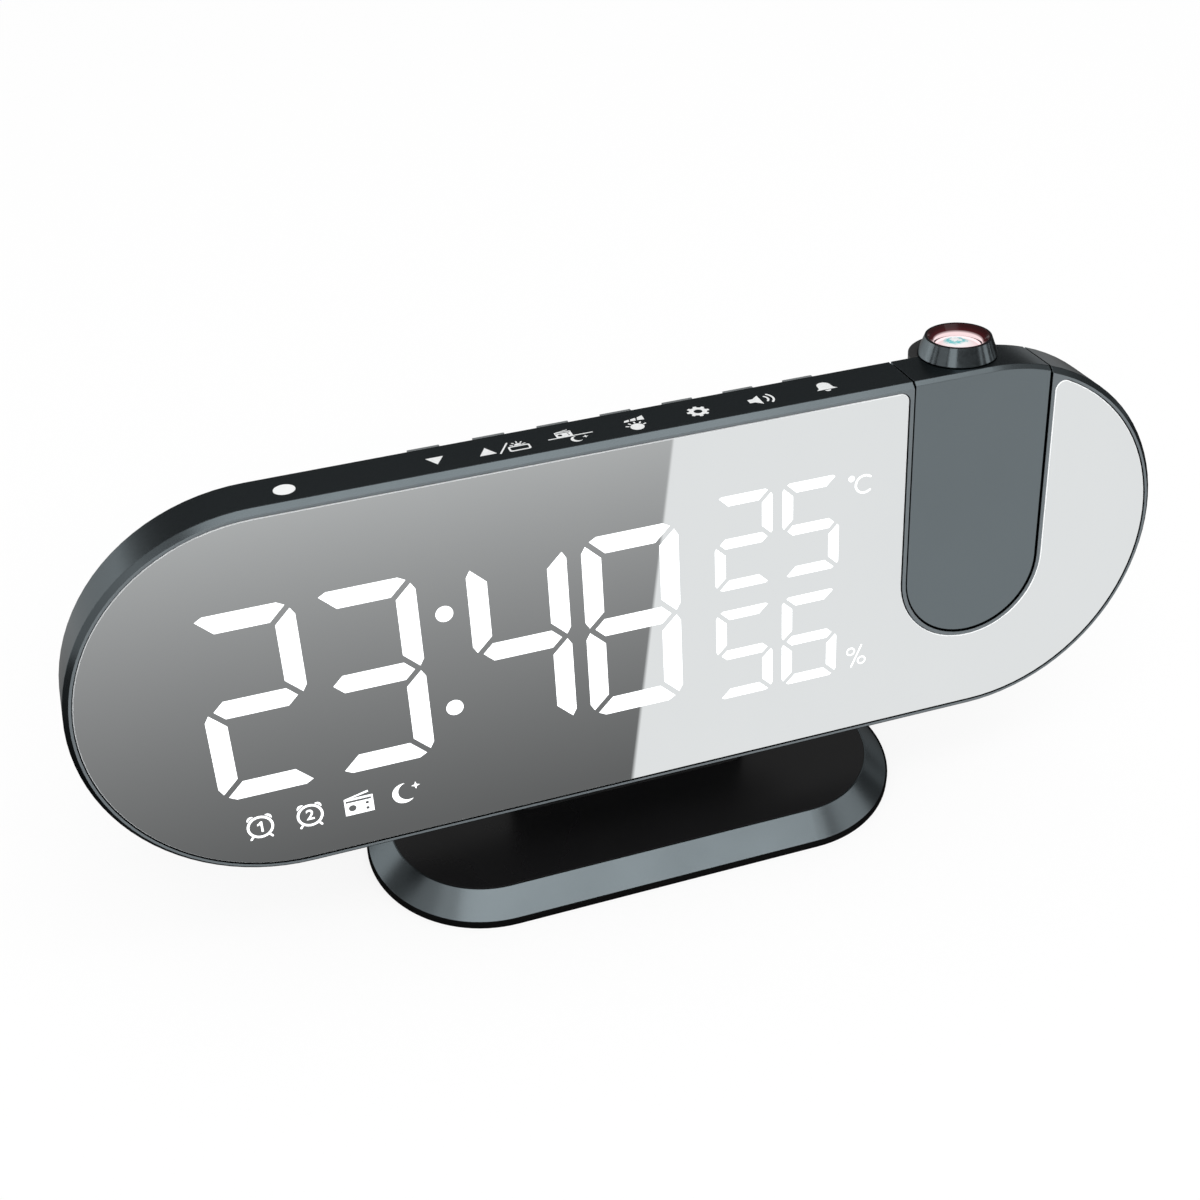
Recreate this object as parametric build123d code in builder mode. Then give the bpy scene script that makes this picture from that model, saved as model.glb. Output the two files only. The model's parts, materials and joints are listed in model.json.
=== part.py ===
from build123d import *
from math import asin, atan2, cos, degrees, radians, sin, sqrt
import os

# Projection alarm clock: a thin stadium-shaped head behind a mirror, on a low foot, with a projector
# arm let into the right-hand end of the head.
# World frame: origin at the middle of the foot's underside, +Z up, the mirror faces -Y.  Millimetres.

# ---- head -------------------------------------------------------------------------------------
body_length = 190.0
body_height = 67.4
wall_depth = 9.6            # depth of the thin head, front rim to back panel
lean_angle = 9.15           # the head leans back by this many degrees
face_forward = 7.8          # the mirror's centre stands this far in front of the foot's centre
face_rise = 51.4            # and this far above the table
bevel_depth = 0.97          # bevel round the front rim
bevel_width = 0.9
shell_wall = 1.8
back_wall = 1.6
lap_wall = 0.8              # thinned wall where the front bezel plugs in
lap_depth = 3.05
fit_gap = 0.05              # between pieces that are fixed together

# ---- mirror and bezel -------------------------------------------------------------------------
mirror_inset = 1.48         # from the head's outline to the mirror's edge
mirror_groove = 0.18        # dark line round the mirror
mirror_recess = 0.1
mirror_thickness = 1.5
mirror_edge_bevel = 0.15
mirror_corner = 1.6         # corners beside the arm's slot
ledge_width = 1.7           # the mirror is glued to this ledge
boss_radius = 2.0
screw_radius = 0.85
screw_inset = 4.3           # screw centres, in from the head's outline
screw_reach = 5.0           # length of the shank under the head
screw_head_seat = 0.9       # depth of the recess for a screw's head
screw_head_height = 0.7

# ---- light sensor -----------------------------------------------------------------------------
sensor_centre = -55.8
sensor_radius = 1.7

# ---- projector arm ----------------------------------------------------------------------------
arm_centre = 59.7
arm_width = 24.94
arm_round_height = -4.1     # centre of the arm's round lower end, from the head's centre line
arm_recess = 0.25           # the arm's face stands this far behind the bezel's
slot_gap = 0.37
slot_flange = 0.65          # bezel left between the arm's slot and the mirror
slot_wall = 1.4
arm_wall = 1.2
plug_depth = 0.85           # the arm's front cover plugs this far into its rear cover
arm_boss_length = 5.5
arm_boss_radius = 1.9
arm_screw_reach = 4.5
arm_screw_seat = 1.2
arm_screw_head_height = 0.8
arm_screw_inset = 3.27      # the two upper screws' centres, in from the arm's sides
arm_screw_height = 6.2      # and their height, beside the column's foot
arm_screw_drop = 6.5        # the third screw, below the centre of the round end

hinge_height = 0.0
hinge_back = 1.7            # the hinge line stands this far behind the thin head's back
knuckle_radius = 3.2
ear_length = 5.0
axle_radius = 1.25
axle_clearance = 0.05
axle_inset = 0.2            # the axle ends this far inside the ears
washer_clearance = 0.05     # each side of a friction washer
washer_inset = 0.2          # washers are this much smaller than the knuckles

# ---- projector optics -------------------------------------------------------------------------
optic_offset = -0.8         # optical axis, from the arm's centre line
optic_depth = 8.3           # and behind the front face
column_radius = 8.2
column_flare = 5.0          # height over which the column's foot narrows
column_narrow = 3.5         # and by how much
optic_bore = 6.0
optic_floor = 9.5           # height of the bore's floor above the head's centre line
holder_wall = 1.15
holder_length = 15.5
lens_radius = 3.85
cell_wall = 0.65
cell_back_wall = 1.5        # wall of the cell behind the lens
lens_seat = 0.25            # the lens's lower face stands this far above the cell's ledge
lens_sink = 0.95            # from the cell's top down to the underside of the lens's edge
cell_length = 7.4
lens_edge = 1.2
lens_crown = 0.65           # height of each of the lens's spherical faces
focus_travel = 0.5          # of the lens cell, each way
ring_base_radius = 6.7
ring_top_radius = 5.58
ring_rim = 0.5              # flat rim round the ring's funnel
ring_throat = 1.65          # height of the funnel's lower side above the ring's underside
throat_lip = 0.35
ring_height = 3.0
ring_lift = 0.15            # running gap under the ring
ring_wall = 0.95
ring_clearance = 0.2

# ---- rear pod ---------------------------------------------------------------------------------
pod_centre = -9.0
pod_middle = -4.0
pod_width = 90.0
pod_height = 46.0
pod_depth = 12.0
pod_corner = 11.0
pod_edge = 3.0
speaker_centre = -32.0
speaker_radius = 14.0
speaker_rim = (1.0, 1.5)    # width and thickness
speaker_basket = 4.0        # depth of the basket's sloping part
speaker_magnet = (0.58, 2.0)    # radius as a share of the speaker's, and depth
speaker_cone = (1.6, 1.2)   # distance in from the rim, and depth
grille_pitch = 2.6
grille_slot = 1.3
grille_radius = 12.2
battery_centre = 8.0
battery_radius = 10.0
battery_thickness = 3.2
door_radius = 12.4
door_slot = (11.0, 1.8)     # coin slot that turns the door
door_slot_depth = 0.9
door_slot_turn = 30         # degrees
holder_floor = 1.2
inlet_centre = 27.5
inlet_height = -14.0
inlet_bore = 2.8
inlet_pin = 1.0
inlet_reach = 9.0
inlet_collar = 1.2          # wall of the socket's round mouth
inlet_body = 9.0            # square body of the socket
inlet_sink = 0.15           # the mouth stands this far inside the pod's back

# ---- buttons ----------------------------------------------------------------------------------
button_names = [
    "down_button", "up_button", "radio_button", "projection_button",
    "set_button", "volume_button", "alarm_button",
]
button_pitch = 10.63
button_middle = -0.95       # the middle button, from the head's centre
button_width = 5.2
button_height = 3.8
button_stand = 2.3          # how far a button stands out of the back
button_travel = 0.6
button_skin = 0.5           # wall left above the buttons
button_gap = 0.15
flange_extra = 1.0
flange_thickness = 1.0
switch_size = 3.0
switch_thickness = 1.1
plunger_radius = 0.8
plunger_height = 0.5
button_board_size = (100.0, 5.2)
button_board_thickness = 1.0
button_board_depth = 3.6
button_board_offset = (-9.05, -0.9)     # the board's centre, from the middle switch

# ---- display ----------------------------------------------------------------------------------
big_digits = [-65.9, -46.9, -22.15, -3.05]
big_digit_size = (16.6, 34.65)
big_stroke = 3.3
big_cut = 0.7               # corner taken off the outer ends of a big digit's segments
digit_level = 0.1           # height of the big digits' centre line
colon_centre = -34.5
colon_radius = 1.45
colon_spacing = 9.05
small_columns = [16.7, 28.75]
small_rows = [11.05, -10.8]
small_digit_size = (10.25, 17.8)
small_stroke = 1.85
small_cut = 0.25
big_gap = 1.0               # between neighbouring segments
small_gap = 0.85
symbol_wells = [            # x, height and radius of the light well behind each symbol
    (-69.0, -23.6, 2.3), (-60.8, -23.6, 2.3), (-52.45, -23.6, 2.3), (-44.3, -23.6, 2.3),
    (37.6, 16.9, 1.8), (37.8, -17.0, 1.8),
]
reflector_size = (118.0, 48.0)
reflector_centre = (-17.5, -2.55)
reflector_depth = 3.5
reflector_corner = 8.5
diffuser_thickness = 1.2
board_thickness = 1.2
board_margin = (2.0, 0.5)   # the main board is this much smaller than the reflector on each side
chip_places = [             # x, height, width and depth of the flat parts on the main board
    (-8, -14, 14, 14), (8, 12, 18, 7), (-60, 0, 10, 12),
]
chip_thickness = 1.3
capacitor_places = [(27, 6), (27, -2), (-10, 12)]
capacitor_radius = 3.0
capacitor_length = 7.0

# ---- foot -------------------------------------------------------------------------------------
foot_length = 100.8
foot_width = 43.7
pad_thickness = 1.25
foot_height = 5.1
foot_bevel = 4.5            # from the pad's outline to the top's
pad_lip = 0.3               # the pad shows this much round the shell
inlay_thickness = 1.0
inlay_lip = 0.25
ballast_size = (86.0, 30.0)
ballast_thickness = 1.55
neck_length = 46.0
neck_thickness = 7.0
neck_back = 5.2             # where the neck's axis meets the pod's underside, behind the thin head
neck_screw_spacing = 28.0
neck_screw_radius = 1.2
neck_screw_reach = 7.0
neck_screw_head = 1.4
foot_screw_reach = 7.5
foot_screw_head = 1.3

# ---- derived sizes ----------------------------------------------------------------------------
half_height = body_height / 2
arc_centre = (body_length - body_height) / 2
bevel_taper = degrees(atan2(bevel_width, bevel_depth))
seat_depth = mirror_recess + mirror_thickness + fit_gap
panel_depth = wall_depth - back_wall
pod_back = wall_depth + pod_depth
pod_inside = pod_back - back_wall
pod_bottom = pod_middle - pod_height / 2
arm_half = arm_width / 2
hinge_depth = wall_depth + hinge_back
axle_half = arm_half + slot_gap + ear_length - axle_inset
notch_margin = slot_gap + slot_flange
washer_thickness = slot_gap - 2 * washer_clearance
optic_centre = arm_centre + optic_offset
reflector_back = seat_depth + reflector_depth
board_front = reflector_back + fit_gap
board_back = board_front + board_thickness
cell_radius = lens_radius + cell_wall
sleeve_inner = cell_radius + ring_clearance
sleeve_outer = sleeve_inner + ring_wall
collar = ring_lift + ring_throat    # height of the ring's throat above the head's outline
cell_top = half_height + collar - focus_travel - 0.1
button_top = half_height - button_skin - button_gap
button_level = button_top - button_height / 2
button_centres = [button_middle + button_pitch * (i - 3) for i in range(7)]
flange_back = panel_depth - fit_gap
switch_level = button_level - 1.5
neck_depth = wall_depth + neck_back

head = Plane(
    origin=(0, -face_forward, face_rise),
    x_dir=(1, 0, 0),
    z_dir=(0, -cos(radians(lean_angle)), sin(radians(lean_angle))),
)
outward = Axis(head.origin, head.z_dir)


def depth(distance):
    """Plane parallel to the mirror, this far behind the front rim; x right, y up the head."""
    return head.offset(-distance)


def level(height, x=optic_centre, back=optic_depth):
    """Plane across the head at this height; its origin is at x and this far behind the front rim."""
    return Plane(origin=head.from_local_coords((x, height, -back)), x_dir=(1, 0, 0), z_dir=head.y_dir)


def side(x):
    """Plane across the head's length at x; local x runs backwards and y runs up the head."""
    return Plane(origin=head.from_local_coords((x, 0, 0)), x_dir=-head.z_dir, z_dir=(1, 0, 0))


def stadium(inset=0.0, mode=Mode.ADD):
    """The head's outline, drawn in by inset."""
    SlotOverall(body_length - 2 * inset, body_height - 2 * inset, mode=mode)


def tongue(margin=0.0, mode=Mode.ADD):
    """The arm's outline, open past the top of the head and grown by margin."""
    tongue_top = body_height
    with Locations((arm_centre, arm_round_height)):
        Circle(arm_half + margin, mode=mode)
    with Locations((arm_centre, (arm_round_height + tongue_top) / 2)):
        Rectangle(arm_width + 2 * margin, tongue_top - arm_round_height, mode=mode)


def hinge_circle(radius, mode=Mode.ADD):
    """A circle about the hinge line, drawn across the head."""
    with Locations((hinge_depth, hinge_height)):
        Circle(radius, mode=mode)


def knuckle():
    """Section of the hinge: round behind its line and straight where it joins the back panel."""
    hinge_circle(knuckle_radius)
    with Locations(((panel_depth + hinge_depth) / 2, hinge_height)):
        Rectangle(hinge_depth - panel_depth, 2 * knuckle_radius)


def notch_corners(sketch):
    """Upper corners of the mirror's outline, beside the arm's slot."""
    beside = sketch.vertices().filter_by_position(Axis.X, arm_centre - arm_width, arm_centre + arm_width)
    return beside.filter_by_position(Axis.Y, half_height / 2, half_height)


def screw_spots():
    """Centres of the screws that hold the bezel to the rear housing."""
    ring = half_height - screw_inset
    left = [(-arc_centre + ring * cos(radians(a)), ring * sin(radians(a))) for a in (120, 180, 240)]
    right = [(arc_centre + ring * cos(radians(a)), ring * sin(radians(a))) for a in (0, -60)]
    return left + right + [(-20.0, -ring), (20.0, -ring)]


def segments(width, height, stroke, gap, cut):
    """Outlines of a digit's seven mitred segments, about the digit's centre."""
    w, h, half = width / 2, height / 2, stroke / 2
    corner = gap / sqrt(2)          # each outer end stands this far from the corner's mitre
    inner = 2 * corner - half       # and each inner end this far from the digit's middle line, at its side
    top = [
        (-w + cut + corner, h - cut), (-w + 2.75 * cut + corner, h), (w - 2.75 * cut - corner, h),
        (w - cut - corner, h - cut), (w - stroke - corner, h - stroke), (-w + stroke + corner, h - stroke),
    ]
    upright = [
        (-w + cut, h - cut - corner), (-w + stroke, h - stroke - corner), (-w + stroke, inner + stroke),
        (-w + cut, inner + cut), (-w, inner + 2.75 * cut), (-w, h - 2.75 * cut - corner),
    ]
    bar = [
        (half - w, 0), (stroke - w, half), (w - stroke, half),
        (w - half, 0), (w - stroke, -half), (stroke - w, -half),
    ]
    outlines = [top, upright, bar]
    outlines += [[(-x, -y) for x, y in top], [(-x, y) for x, y in upright]]
    outlines += [[(x, -y) for x, y in upright], [(-x, -y) for x, y in upright]]
    return outlines


def display_windows():
    """Windows of every segment, the colon's two dots and the symbols' wells."""
    big = (*big_digit_size, big_stroke, big_gap, big_cut)
    small = (*small_digit_size, small_stroke, small_gap, small_cut)
    digits = [(x, digit_level, big) for x in big_digits]
    digits += [(x, y, small) for y in small_rows for x in small_columns]
    for x, y, shape in digits:
        for outline in segments(*shape):
            with Locations((x, y)):
                Polygon(*outline, align=None)
    with Locations((colon_centre, digit_level + colon_spacing), (colon_centre, digit_level - colon_spacing)):
        Circle(colon_radius)
    for x, y, radius in symbol_wells:
        with Locations((x, y)):
            Circle(radius)


# ---- front bezel ------------------------------------------------------------------------------
with BuildPart() as front_bezel:
    with BuildSketch(depth(bevel_depth)):
        stadium()
    extrude(amount=bevel_depth, taper=bevel_taper)
    with BuildSketch(depth(bevel_depth)):
        stadium(lap_wall + fit_gap)
    extrude(amount=-(lap_depth - fit_gap - bevel_depth))
    # the mirror's recess, and the smaller opening behind it
    with BuildSketch(head) as mirror_window:
        stadium(mirror_inset - mirror_groove)
        tongue(notch_margin, mode=Mode.SUBTRACT)
        fillet(notch_corners(mirror_window), mirror_corner + mirror_groove)
    extrude(amount=-seat_depth, mode=Mode.SUBTRACT)
    with BuildSketch(head):
        stadium(mirror_inset + ledge_width)
        tongue(notch_margin + mirror_groove + ledge_width / 2, mode=Mode.SUBTRACT)
    extrude(amount=-lap_depth, mode=Mode.SUBTRACT)
    # bosses that take the housing's screws
    with BuildSketch(depth(seat_depth)):
        with Locations(*screw_spots()):
            Circle(boss_radius)
    extrude(amount=-(panel_depth - seat_depth - fit_gap))
    with BuildSketch(head):
        tongue(slot_gap)
    extrude(amount=-lap_depth, mode=Mode.SUBTRACT)
    with BuildSketch(depth(seat_depth + 1.0)):
        with Locations(*screw_spots()):
            Circle(screw_radius + fit_gap)
    extrude(amount=-panel_depth, mode=Mode.SUBTRACT)
front_bezel.part.label = "front_bezel"

# ---- mirror panel -----------------------------------------------------------------------------
with BuildPart() as mirror_panel:
    with BuildSketch(depth(mirror_recess)) as mirror_outline:
        stadium(mirror_inset)
        tongue(notch_margin + mirror_groove, mode=Mode.SUBTRACT)
        fillet(notch_corners(mirror_outline), mirror_corner)
    extrude(amount=-mirror_thickness)
    chamfer(mirror_panel.faces().sort_by(outward)[-1].edges(), mirror_edge_bevel)
mirror_panel.part.label = "mirror_panel"

# ---- rear housing -----------------------------------------------------------------------------
with BuildPart() as rear_housing:
    with BuildSketch(depth(bevel_depth)):
        stadium()
    extrude(amount=-(wall_depth - bevel_depth))
    with BuildSketch(depth(wall_depth)):
        with Locations((pod_centre, pod_middle)):
            RectangleRounded(pod_width, pod_height, pod_corner)
    extrude(amount=-pod_depth)
    fillet(rear_housing.faces().sort_by(outward)[0].edges(), pod_edge)
    # inside of the pod and of the thin head
    with BuildSketch(depth(panel_depth - fit_gap)):
        with Locations((pod_centre, pod_middle)):
            RectangleRounded(pod_width - 2 * back_wall, pod_height - 2 * back_wall, pod_corner - back_wall)
    extrude(amount=-(pod_inside - panel_depth + fit_gap), mode=Mode.SUBTRACT)
    with BuildSketch(head):
        stadium(lap_wall)
    extrude(amount=-lap_depth, mode=Mode.SUBTRACT)
    with BuildSketch(head):
        stadium(shell_wall)
        tongue(slot_gap + slot_wall, mode=Mode.SUBTRACT)
    extrude(amount=-panel_depth, mode=Mode.SUBTRACT)
    # ears that carry the arm's axle, one each side of the slot
    for x in (arm_centre - arm_half - slot_gap - ear_length, arm_centre + arm_half + slot_gap):
        with BuildSketch(side(x)):
            knuckle()
        extrude(amount=ear_length)
    with BuildSketch(head):
        tongue(slot_gap)
    extrude(amount=-pod_back, mode=Mode.SUBTRACT)
    with BuildSketch(side(arm_centre - axle_half - 1)):
        hinge_circle(axle_radius + axle_clearance / 2)
    extrude(amount=2 * axle_half + 2, mode=Mode.SUBTRACT)
    # button holes along the top of the back, cut into the top wall from inside
    with BuildSketch(depth(panel_depth)):
        with Locations(*[(x, button_level) for x in button_centres]):
            Rectangle(button_width + 2 * button_gap, button_height + 2 * button_gap)
    extrude(amount=-back_wall, mode=Mode.SUBTRACT)
    flange_bottom = button_level - button_height / 2 - flange_extra
    with BuildSketch(depth(flange_back - flange_thickness - button_travel - 2 * button_gap)):
        flange_room = button_top - flange_bottom + 2 * button_gap
        with Locations(*[(x, (button_top + flange_bottom) / 2) for x in button_centres]):
            Rectangle(button_width + 2 * flange_extra + 2 * button_gap, flange_room)
    extrude(amount=-(flange_thickness + button_travel + 2 * button_gap + fit_gap), mode=Mode.SUBTRACT)
    # speaker grille: slots cut short by a circle
    with BuildSketch(depth(pod_inside)):
        for row in range(-4, 5):
            slot_half = sqrt(grille_radius ** 2 - (row * grille_pitch) ** 2)
            with Locations((speaker_centre, pod_middle + row * grille_pitch)):
                SlotOverall(2 * slot_half, grille_slot)
    extrude(amount=-back_wall, mode=Mode.SUBTRACT)
    # battery door, power inlet, light sensor and screw holes
    with BuildSketch(depth(pod_inside)):
        with Locations((battery_centre, pod_middle)):
            Circle(door_radius + button_gap)
        with Locations((inlet_centre, inlet_height)):
            Circle(inlet_bore + inlet_collar + 2 * fit_gap)
    extrude(amount=-back_wall, mode=Mode.SUBTRACT)
    with BuildSketch(depth(panel_depth)):
        with Locations(*screw_spots()):
            Circle(screw_radius + fit_gap)
    extrude(amount=-back_wall, mode=Mode.SUBTRACT)
    with BuildSketch(depth(wall_depth - screw_head_seat)):
        with Locations(*screw_spots()):
            Circle(2 * screw_radius + 2 * fit_gap)
    extrude(amount=-back_wall, mode=Mode.SUBTRACT)
    with BuildSketch(level(half_height - shell_wall, x=sensor_centre, back=wall_depth / 2)):
        Circle(sensor_radius + fit_gap)
    extrude(amount=shell_wall + 1, mode=Mode.SUBTRACT)
    # holes for the neck's screws, through the pod's underside
    for x in (-neck_screw_spacing / 2, neck_screw_spacing / 2):
        with BuildSketch(level(pod_bottom - 1, x=x, back=neck_depth)):
            Circle(neck_screw_radius + fit_gap)
        extrude(amount=back_wall + 1.5, mode=Mode.SUBTRACT)
rear_housing.part.label = "rear_housing"

# ---- buttons ----------------------------------------------------------------------------------
buttons = []
for name, x in zip(button_names, button_centres):
    with BuildPart() as button:
        with BuildSketch(depth(flange_back)):
            with Locations((x, button_level)):
                Rectangle(button_width, button_height)
        extrude(amount=-(wall_depth + button_stand - flange_back))
        cap_back = button.faces().sort_by(outward)[0]
        fillet(cap_back.edges(), 0.5)
        with BuildSketch(depth(flange_back)):
            with Locations((x, (button_top + flange_bottom) / 2)):
                Rectangle(button_width + 2 * flange_extra, button_top - flange_bottom)
        extrude(amount=flange_thickness)
    button.part.label = name
    buttons.append(button)

# ---- light sensor window ----------------------------------------------------------------------
with BuildPart() as light_sensor_window:
    with BuildSketch(level(half_height - shell_wall, x=sensor_centre, back=wall_depth / 2)):
        Circle(sensor_radius)
    extrude(amount=shell_wall)
light_sensor_window.part.label = "light_sensor_window"

# ---- display: reflector block, diffusers, boards -----------------------------------------------
with BuildPart() as display_reflector:
    with BuildSketch(depth(seat_depth)) as reflector_outline:
        with Locations(reflector_centre):
            RectangleRounded(*reflector_size, reflector_corner)
    extrude(amount=-reflector_depth)
    with BuildSketch(depth(seat_depth)):
        display_windows()
    extrude(amount=-reflector_depth, mode=Mode.SUBTRACT)
display_reflector.part.label = "display_reflector"

with BuildPart() as digit_diffusers:
    with BuildSketch(depth(seat_depth)):
        display_windows()
        offset(amount=-fit_gap, kind=Kind.INTERSECTION)
    extrude(amount=-diffuser_thickness)
digit_diffusers.part.label = "digit_diffusers"

with BuildPart() as main_board:
    with BuildSketch(depth(board_front)):
        with Locations(reflector_centre):
            board_length, board_height = (s - 2 * m for s, m in zip(reflector_size, board_margin))
            RectangleRounded(board_length, board_height, reflector_corner)
    extrude(amount=-board_thickness)
main_board.part.label = "main_board"

with BuildPart() as board_parts:
    # clock chip, display driver and radio module
    with BuildSketch(depth(board_back)):
        for x, y, chip_length, chip_height in chip_places:
            with Locations((x, y)):
                Rectangle(chip_length, chip_height)
    extrude(amount=-chip_thickness)
    # capacitors that stand in the pod
    with BuildSketch(depth(board_back)):
        with Locations(*capacitor_places):
            Circle(capacitor_radius)
    extrude(amount=-capacitor_length)
board_parts.part.label = "board_parts"

switch_depth = button_board_depth + button_board_thickness
with BuildPart() as button_board:
    with BuildSketch(depth(button_board_depth)):
        board_shift, board_drop = button_board_offset
        with Locations((button_middle + board_shift, switch_level + board_drop)):
            Rectangle(*button_board_size)
    extrude(amount=-button_board_thickness)
button_board.part.label = "button_board"

with BuildPart() as tact_switches:
    with BuildSketch(depth(switch_depth)):
        with Locations(*[(x, switch_level) for x in button_centres]):
            Rectangle(switch_size, switch_size)
    extrude(amount=-switch_thickness)
    with BuildSketch(depth(switch_depth + switch_thickness)):
        with Locations(*[(x, switch_level) for x in button_centres]):
            Circle(plunger_radius)
    extrude(amount=-plunger_height)
tact_switches.part.label = "tact_switches"

# ---- speaker, battery, inlet ------------------------------------------------------------------
with BuildPart() as speaker:
    rim_width, rim_thickness = speaker_rim
    magnet_share, magnet_depth = speaker_magnet
    cone_inset, cone_depth = speaker_cone
    rim_face = pod_inside - fit_gap
    with BuildSketch(depth(rim_face)):
        with Locations((speaker_centre, pod_middle)):
            Circle(speaker_radius)
    extrude(amount=rim_thickness)
    with BuildSketch(depth(rim_face - rim_thickness)):
        with Locations((speaker_centre, pod_middle)):
            Circle(speaker_radius - rim_width)
    extrude(amount=speaker_basket, taper=45)
    with BuildSketch(depth(rim_face - rim_thickness - speaker_basket)):
        with Locations((speaker_centre, pod_middle)):
            Circle(speaker_radius * magnet_share)
    extrude(amount=magnet_depth)
    with BuildSketch(depth(rim_face)):
        with Locations((speaker_centre, pod_middle)):
            Circle(speaker_radius - cone_inset)
    extrude(amount=cone_depth, taper=30, mode=Mode.SUBTRACT)
speaker.part.label = "speaker"

with BuildPart() as battery_holder:
    holder_front = pod_inside - fit_gap - battery_thickness - holder_floor
    with BuildSketch(depth(holder_front)):
        with Locations((battery_centre, pod_middle)):
            Circle(door_radius + 0.8)
    extrude(amount=-(pod_inside - fit_gap - holder_front))
    with BuildSketch(depth(pod_inside - fit_gap)):
        with Locations((battery_centre, pod_middle)):
            Circle(battery_radius + 0.2)
    extrude(amount=battery_thickness + 0.1, mode=Mode.SUBTRACT)
    # relieved corner that keeps clear of the inlet
    with BuildSketch(depth(holder_front)):
        with Locations((inlet_centre, inlet_height)):
            Rectangle(12, 12)
    extrude(amount=-pod_depth, mode=Mode.SUBTRACT)
battery_holder.part.label = "battery_holder"

with BuildPart() as coin_cell:
    with BuildSketch(depth(pod_inside - fit_gap - 0.05)):
        with Locations((battery_centre, pod_middle)):
            Circle(battery_radius)
    extrude(amount=battery_thickness)
    chamfer(coin_cell.edges().filter_by(GeomType.CIRCLE), 0.3)
coin_cell.part.label = "coin_cell"

with BuildPart() as battery_door:
    with BuildSketch(depth(pod_inside)):
        with Locations((battery_centre, pod_middle)):
            Circle(door_radius)
    extrude(amount=-back_wall)
    with BuildSketch(depth(pod_back)):
        with Locations((battery_centre, pod_middle)):
            SlotOverall(*door_slot, rotation=door_slot_turn)
    extrude(amount=door_slot_depth, mode=Mode.SUBTRACT)
battery_door.part.label = "battery_door"

with BuildPart() as power_inlet:
    with BuildSketch(depth(pod_inside - fit_gap)):
        with Locations((inlet_centre, inlet_height)):
            Rectangle(inlet_body, inlet_body)
    extrude(amount=inlet_reach + 0.5)
    with BuildSketch(depth(pod_inside - fit_gap)):
        with Locations((inlet_centre, inlet_height)):
            Circle(inlet_bore + inlet_collar)
    extrude(amount=-(back_wall - inlet_sink))
    with BuildSketch(depth(pod_back)):
        with Locations((inlet_centre, inlet_height)):
            Circle(inlet_bore)
    extrude(amount=inlet_reach, mode=Mode.SUBTRACT)
    with BuildSketch(depth(pod_back - 1)):
        with Locations((inlet_centre, inlet_height)):
            Circle(inlet_pin)
    extrude(amount=inlet_reach)
power_inlet.part.label = "power_inlet"

with BuildPart() as housing_screws:
    with BuildSketch(depth(wall_depth - screw_head_seat)):
        with Locations(*screw_spots()):
            Circle(screw_radius)
    extrude(amount=screw_reach)
    with BuildSketch(depth(wall_depth - screw_head_seat)):
        with Locations(*screw_spots()):
            Circle(2 * screw_radius)
    extrude(amount=-screw_head_height)
housing_screws.part.label = "housing_screws"

# ---- projector arm ----------------------------------------------------------------------------
plug_end = bevel_depth + plug_depth
arm_screw_spots = [
    (arm_centre - arm_half + arm_screw_inset, arm_screw_height),
    (arm_centre + arm_half - arm_screw_inset, arm_screw_height),
    (arm_centre, arm_round_height - arm_screw_drop),
]

with BuildPart() as arm_front_cover:
    with BuildSketch(depth(bevel_depth)):
        stadium()
    extrude(amount=bevel_depth - arm_recess, taper=bevel_taper)
    with BuildSketch(depth(bevel_depth)):
        stadium(arm_wall)
    extrude(amount=-plug_depth)
    with BuildSketch(depth(bevel_depth)):
        with Locations(*arm_screw_spots):
            Circle(arm_boss_radius)
    extrude(amount=-arm_boss_length)
    with BuildSketch(depth(-1)):
        tongue()
    extrude(amount=-wall_depth, mode=Mode.INTERSECT)
    # the plug is drawn in from the sides as well
    with BuildSketch(depth(bevel_depth)):
        tongue()
        tongue(-arm_wall, mode=Mode.SUBTRACT)
    extrude(amount=-plug_depth, mode=Mode.SUBTRACT)
    with BuildSketch(depth(bevel_depth + 1)):
        with Locations(*arm_screw_spots):
            Circle(screw_radius + fit_gap)
    extrude(amount=-arm_boss_length, mode=Mode.SUBTRACT)
arm_front_cover.part.label = "arm_front_cover"

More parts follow.
